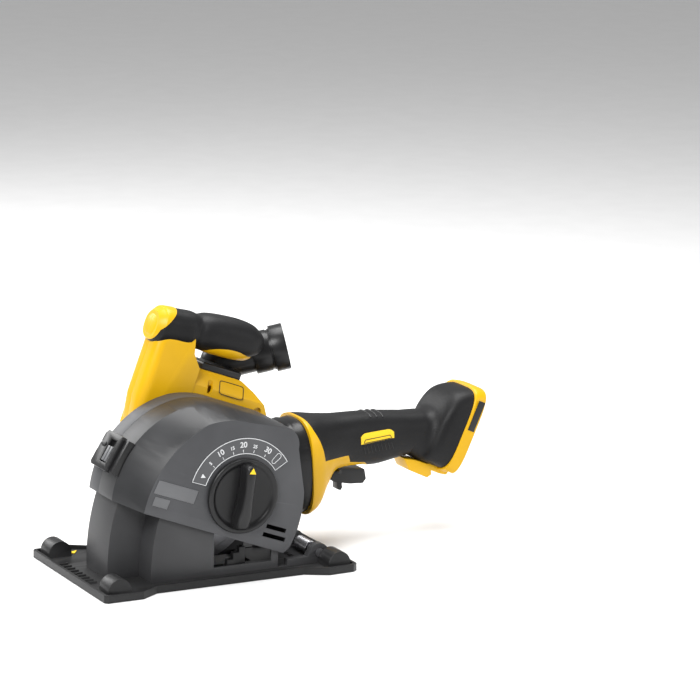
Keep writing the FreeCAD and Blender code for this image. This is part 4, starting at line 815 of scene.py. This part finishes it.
# two pockets in the deck: (u, w of the middle, half sizes, y of the bottom)
deck = bpy.data.objects["front_housing_near_skin"]
CUT_FROM = 15
for u, w, half_u, half_w, back in ((-121, 111.5, 2.8, 7.0, 26.6), (-66, 98, 5.0, 7.5, 25.0)):
    rim = [tool(point_u, CUT_FROM, point_w) for point_u, point_w in oval((u, w), half_u, half_w)]
    cut(deck, plate_mesh("pocket_cut", rim, SIDE * (back - CUT_FROM)), "DIFFERENCE")
label = []
for number in range(32):
    angle = 2 * math.pi * number / 32
    label.append(on_deck(-98 + squash(math.cos(angle), 0.25) * 13.0,
                         113.5 + squash(math.sin(angle), 0.25) * 5.8, 0.05))
tube("deck_label_edge", label, 0.4, "upper", SMOOTH_BLACK, True)

# ---------------------------------------------------------------- sight mark and nose collar
aim = [sole(x, y, 4.2) for x, y in ((-101, 66), (-88, 69), (-94, 61))]
place("aim_mark", plate_mesh("aim_mark", aim, Vector((0, 0, 0.0006))), "base",
      SIGNAL_YELLOW)

COLLAR = 0.8
nose_rows = [(SLEEVE[0][0] - COLLAR,) + SLEEVE[0][1:]] + SLEEVE[1:6]
nose_mesh = handle_mesh("nose_collar", nose_rows, MOTOR_Y, SLEEVE_POWER, SLEEVE_COUNT, COLLAR)
nose = place("nose_collar", nose_mesh, "upper", LOOKS["housing_yellow"])
SLANT = [(-200, 176), (-173, 176), (-178, 166), (-189.5, 148), (-191.5, 136), (-200, 136)]
slant = [tool(u, MOTOR_Y - 30, w) for u, w in SLANT]
cut(nose, plate_mesh("nose_slant", slant, SIDE * 60), "INTERSECT")

# ---------------------------------------------------------------- floor, lights and camera
floor_mesh = bpy.data.meshes.new("floor")
floor_mesh.from_pydata([(-6, -4, 0), (6, -4, 0), (6, 6, 0), (-6, 6, 0)], [], [(0, 1, 2, 3)])
floor = bpy.data.objects.new("floor", floor_mesh)
bpy.context.scene.collection.objects.link(floor)
floor.location.z = cad_box[0][2] - 0.0002
floor_mesh.materials.append(moulded("pale_floor", (0.86, 0.86, 0.86), 0.6, grain=40, depth=0.02,
                                    vary=0.01, edge_lift=0.0))


def area(name, spot, towards, size, power):
    """A square lamp at a spot, turned towards another."""
    lamp = bpy.data.lights.new(name, "AREA")
    lamp.size = size
    lamp.energy = power
    holder = bpy.data.objects.new(name, lamp)
    bpy.context.scene.collection.objects.link(holder)
    holder.location = spot
    holder.rotation_euler = (Vector(towards) - Vector(spot)).to_track_quat("-Z", "Y").to_euler()


area("key_light", (-1.3, -0.9, 1.5), (0, 0, 0.08), 0.8, 37)
area("fill_light", (1.5, -1.5, 0.8), (0, 0, 0.1), 0.9, 9)
area("top_light", (0.2, 0.4, 1.9), (0, 0, 0.05), 1.3, 46)
area("edge_light", (-0.6, 1.5, 0.9), (0, 0, 0.12), 0.8, 13)
# the plain transform keeps the yellow from washing out
bpy.context.scene.view_settings.view_transform = "Standard"
world = bpy.data.worlds.new("studio")
world.use_nodes = True
background = world.node_tree.nodes["Background"]
background.inputs["Color"].default_value = (1, 1, 1, 1)
background.inputs["Strength"].default_value = 0.42
bpy.context.scene.world = world

AZIMUTH, ELEVATION, ROLL = math.radians(28.517), math.radians(12.702), math.radians(1.385)
CAMERA_SPOT = (-1314.06, -2707.17, 882.52)
right = Vector((math.cos(AZIMUTH), -math.sin(AZIMUTH), 0))
ahead = Vector((math.sin(AZIMUTH) * math.cos(ELEVATION), math.cos(AZIMUTH) * math.cos(ELEVATION),
                -math.sin(ELEVATION)))
up = right.cross(ahead)
camera_x = right * math.cos(ROLL) + up * math.sin(ROLL)
camera_y = up * math.cos(ROLL) - right * math.sin(ROLL)
lens = bpy.data.cameras.new("camera")
lens.sensor_width = 36
lens.lens = 174.86
lens.clip_end = 50
camera = bpy.data.objects.new("camera", lens)
bpy.context.scene.collection.objects.link(camera)
turn = Matrix((camera_x, camera_y, -ahead)).transposed().to_4x4()
camera.matrix_world = Matrix.Translation(sole(*CAMERA_SPOT)) @ turn
bpy.context.scene.camera = camera
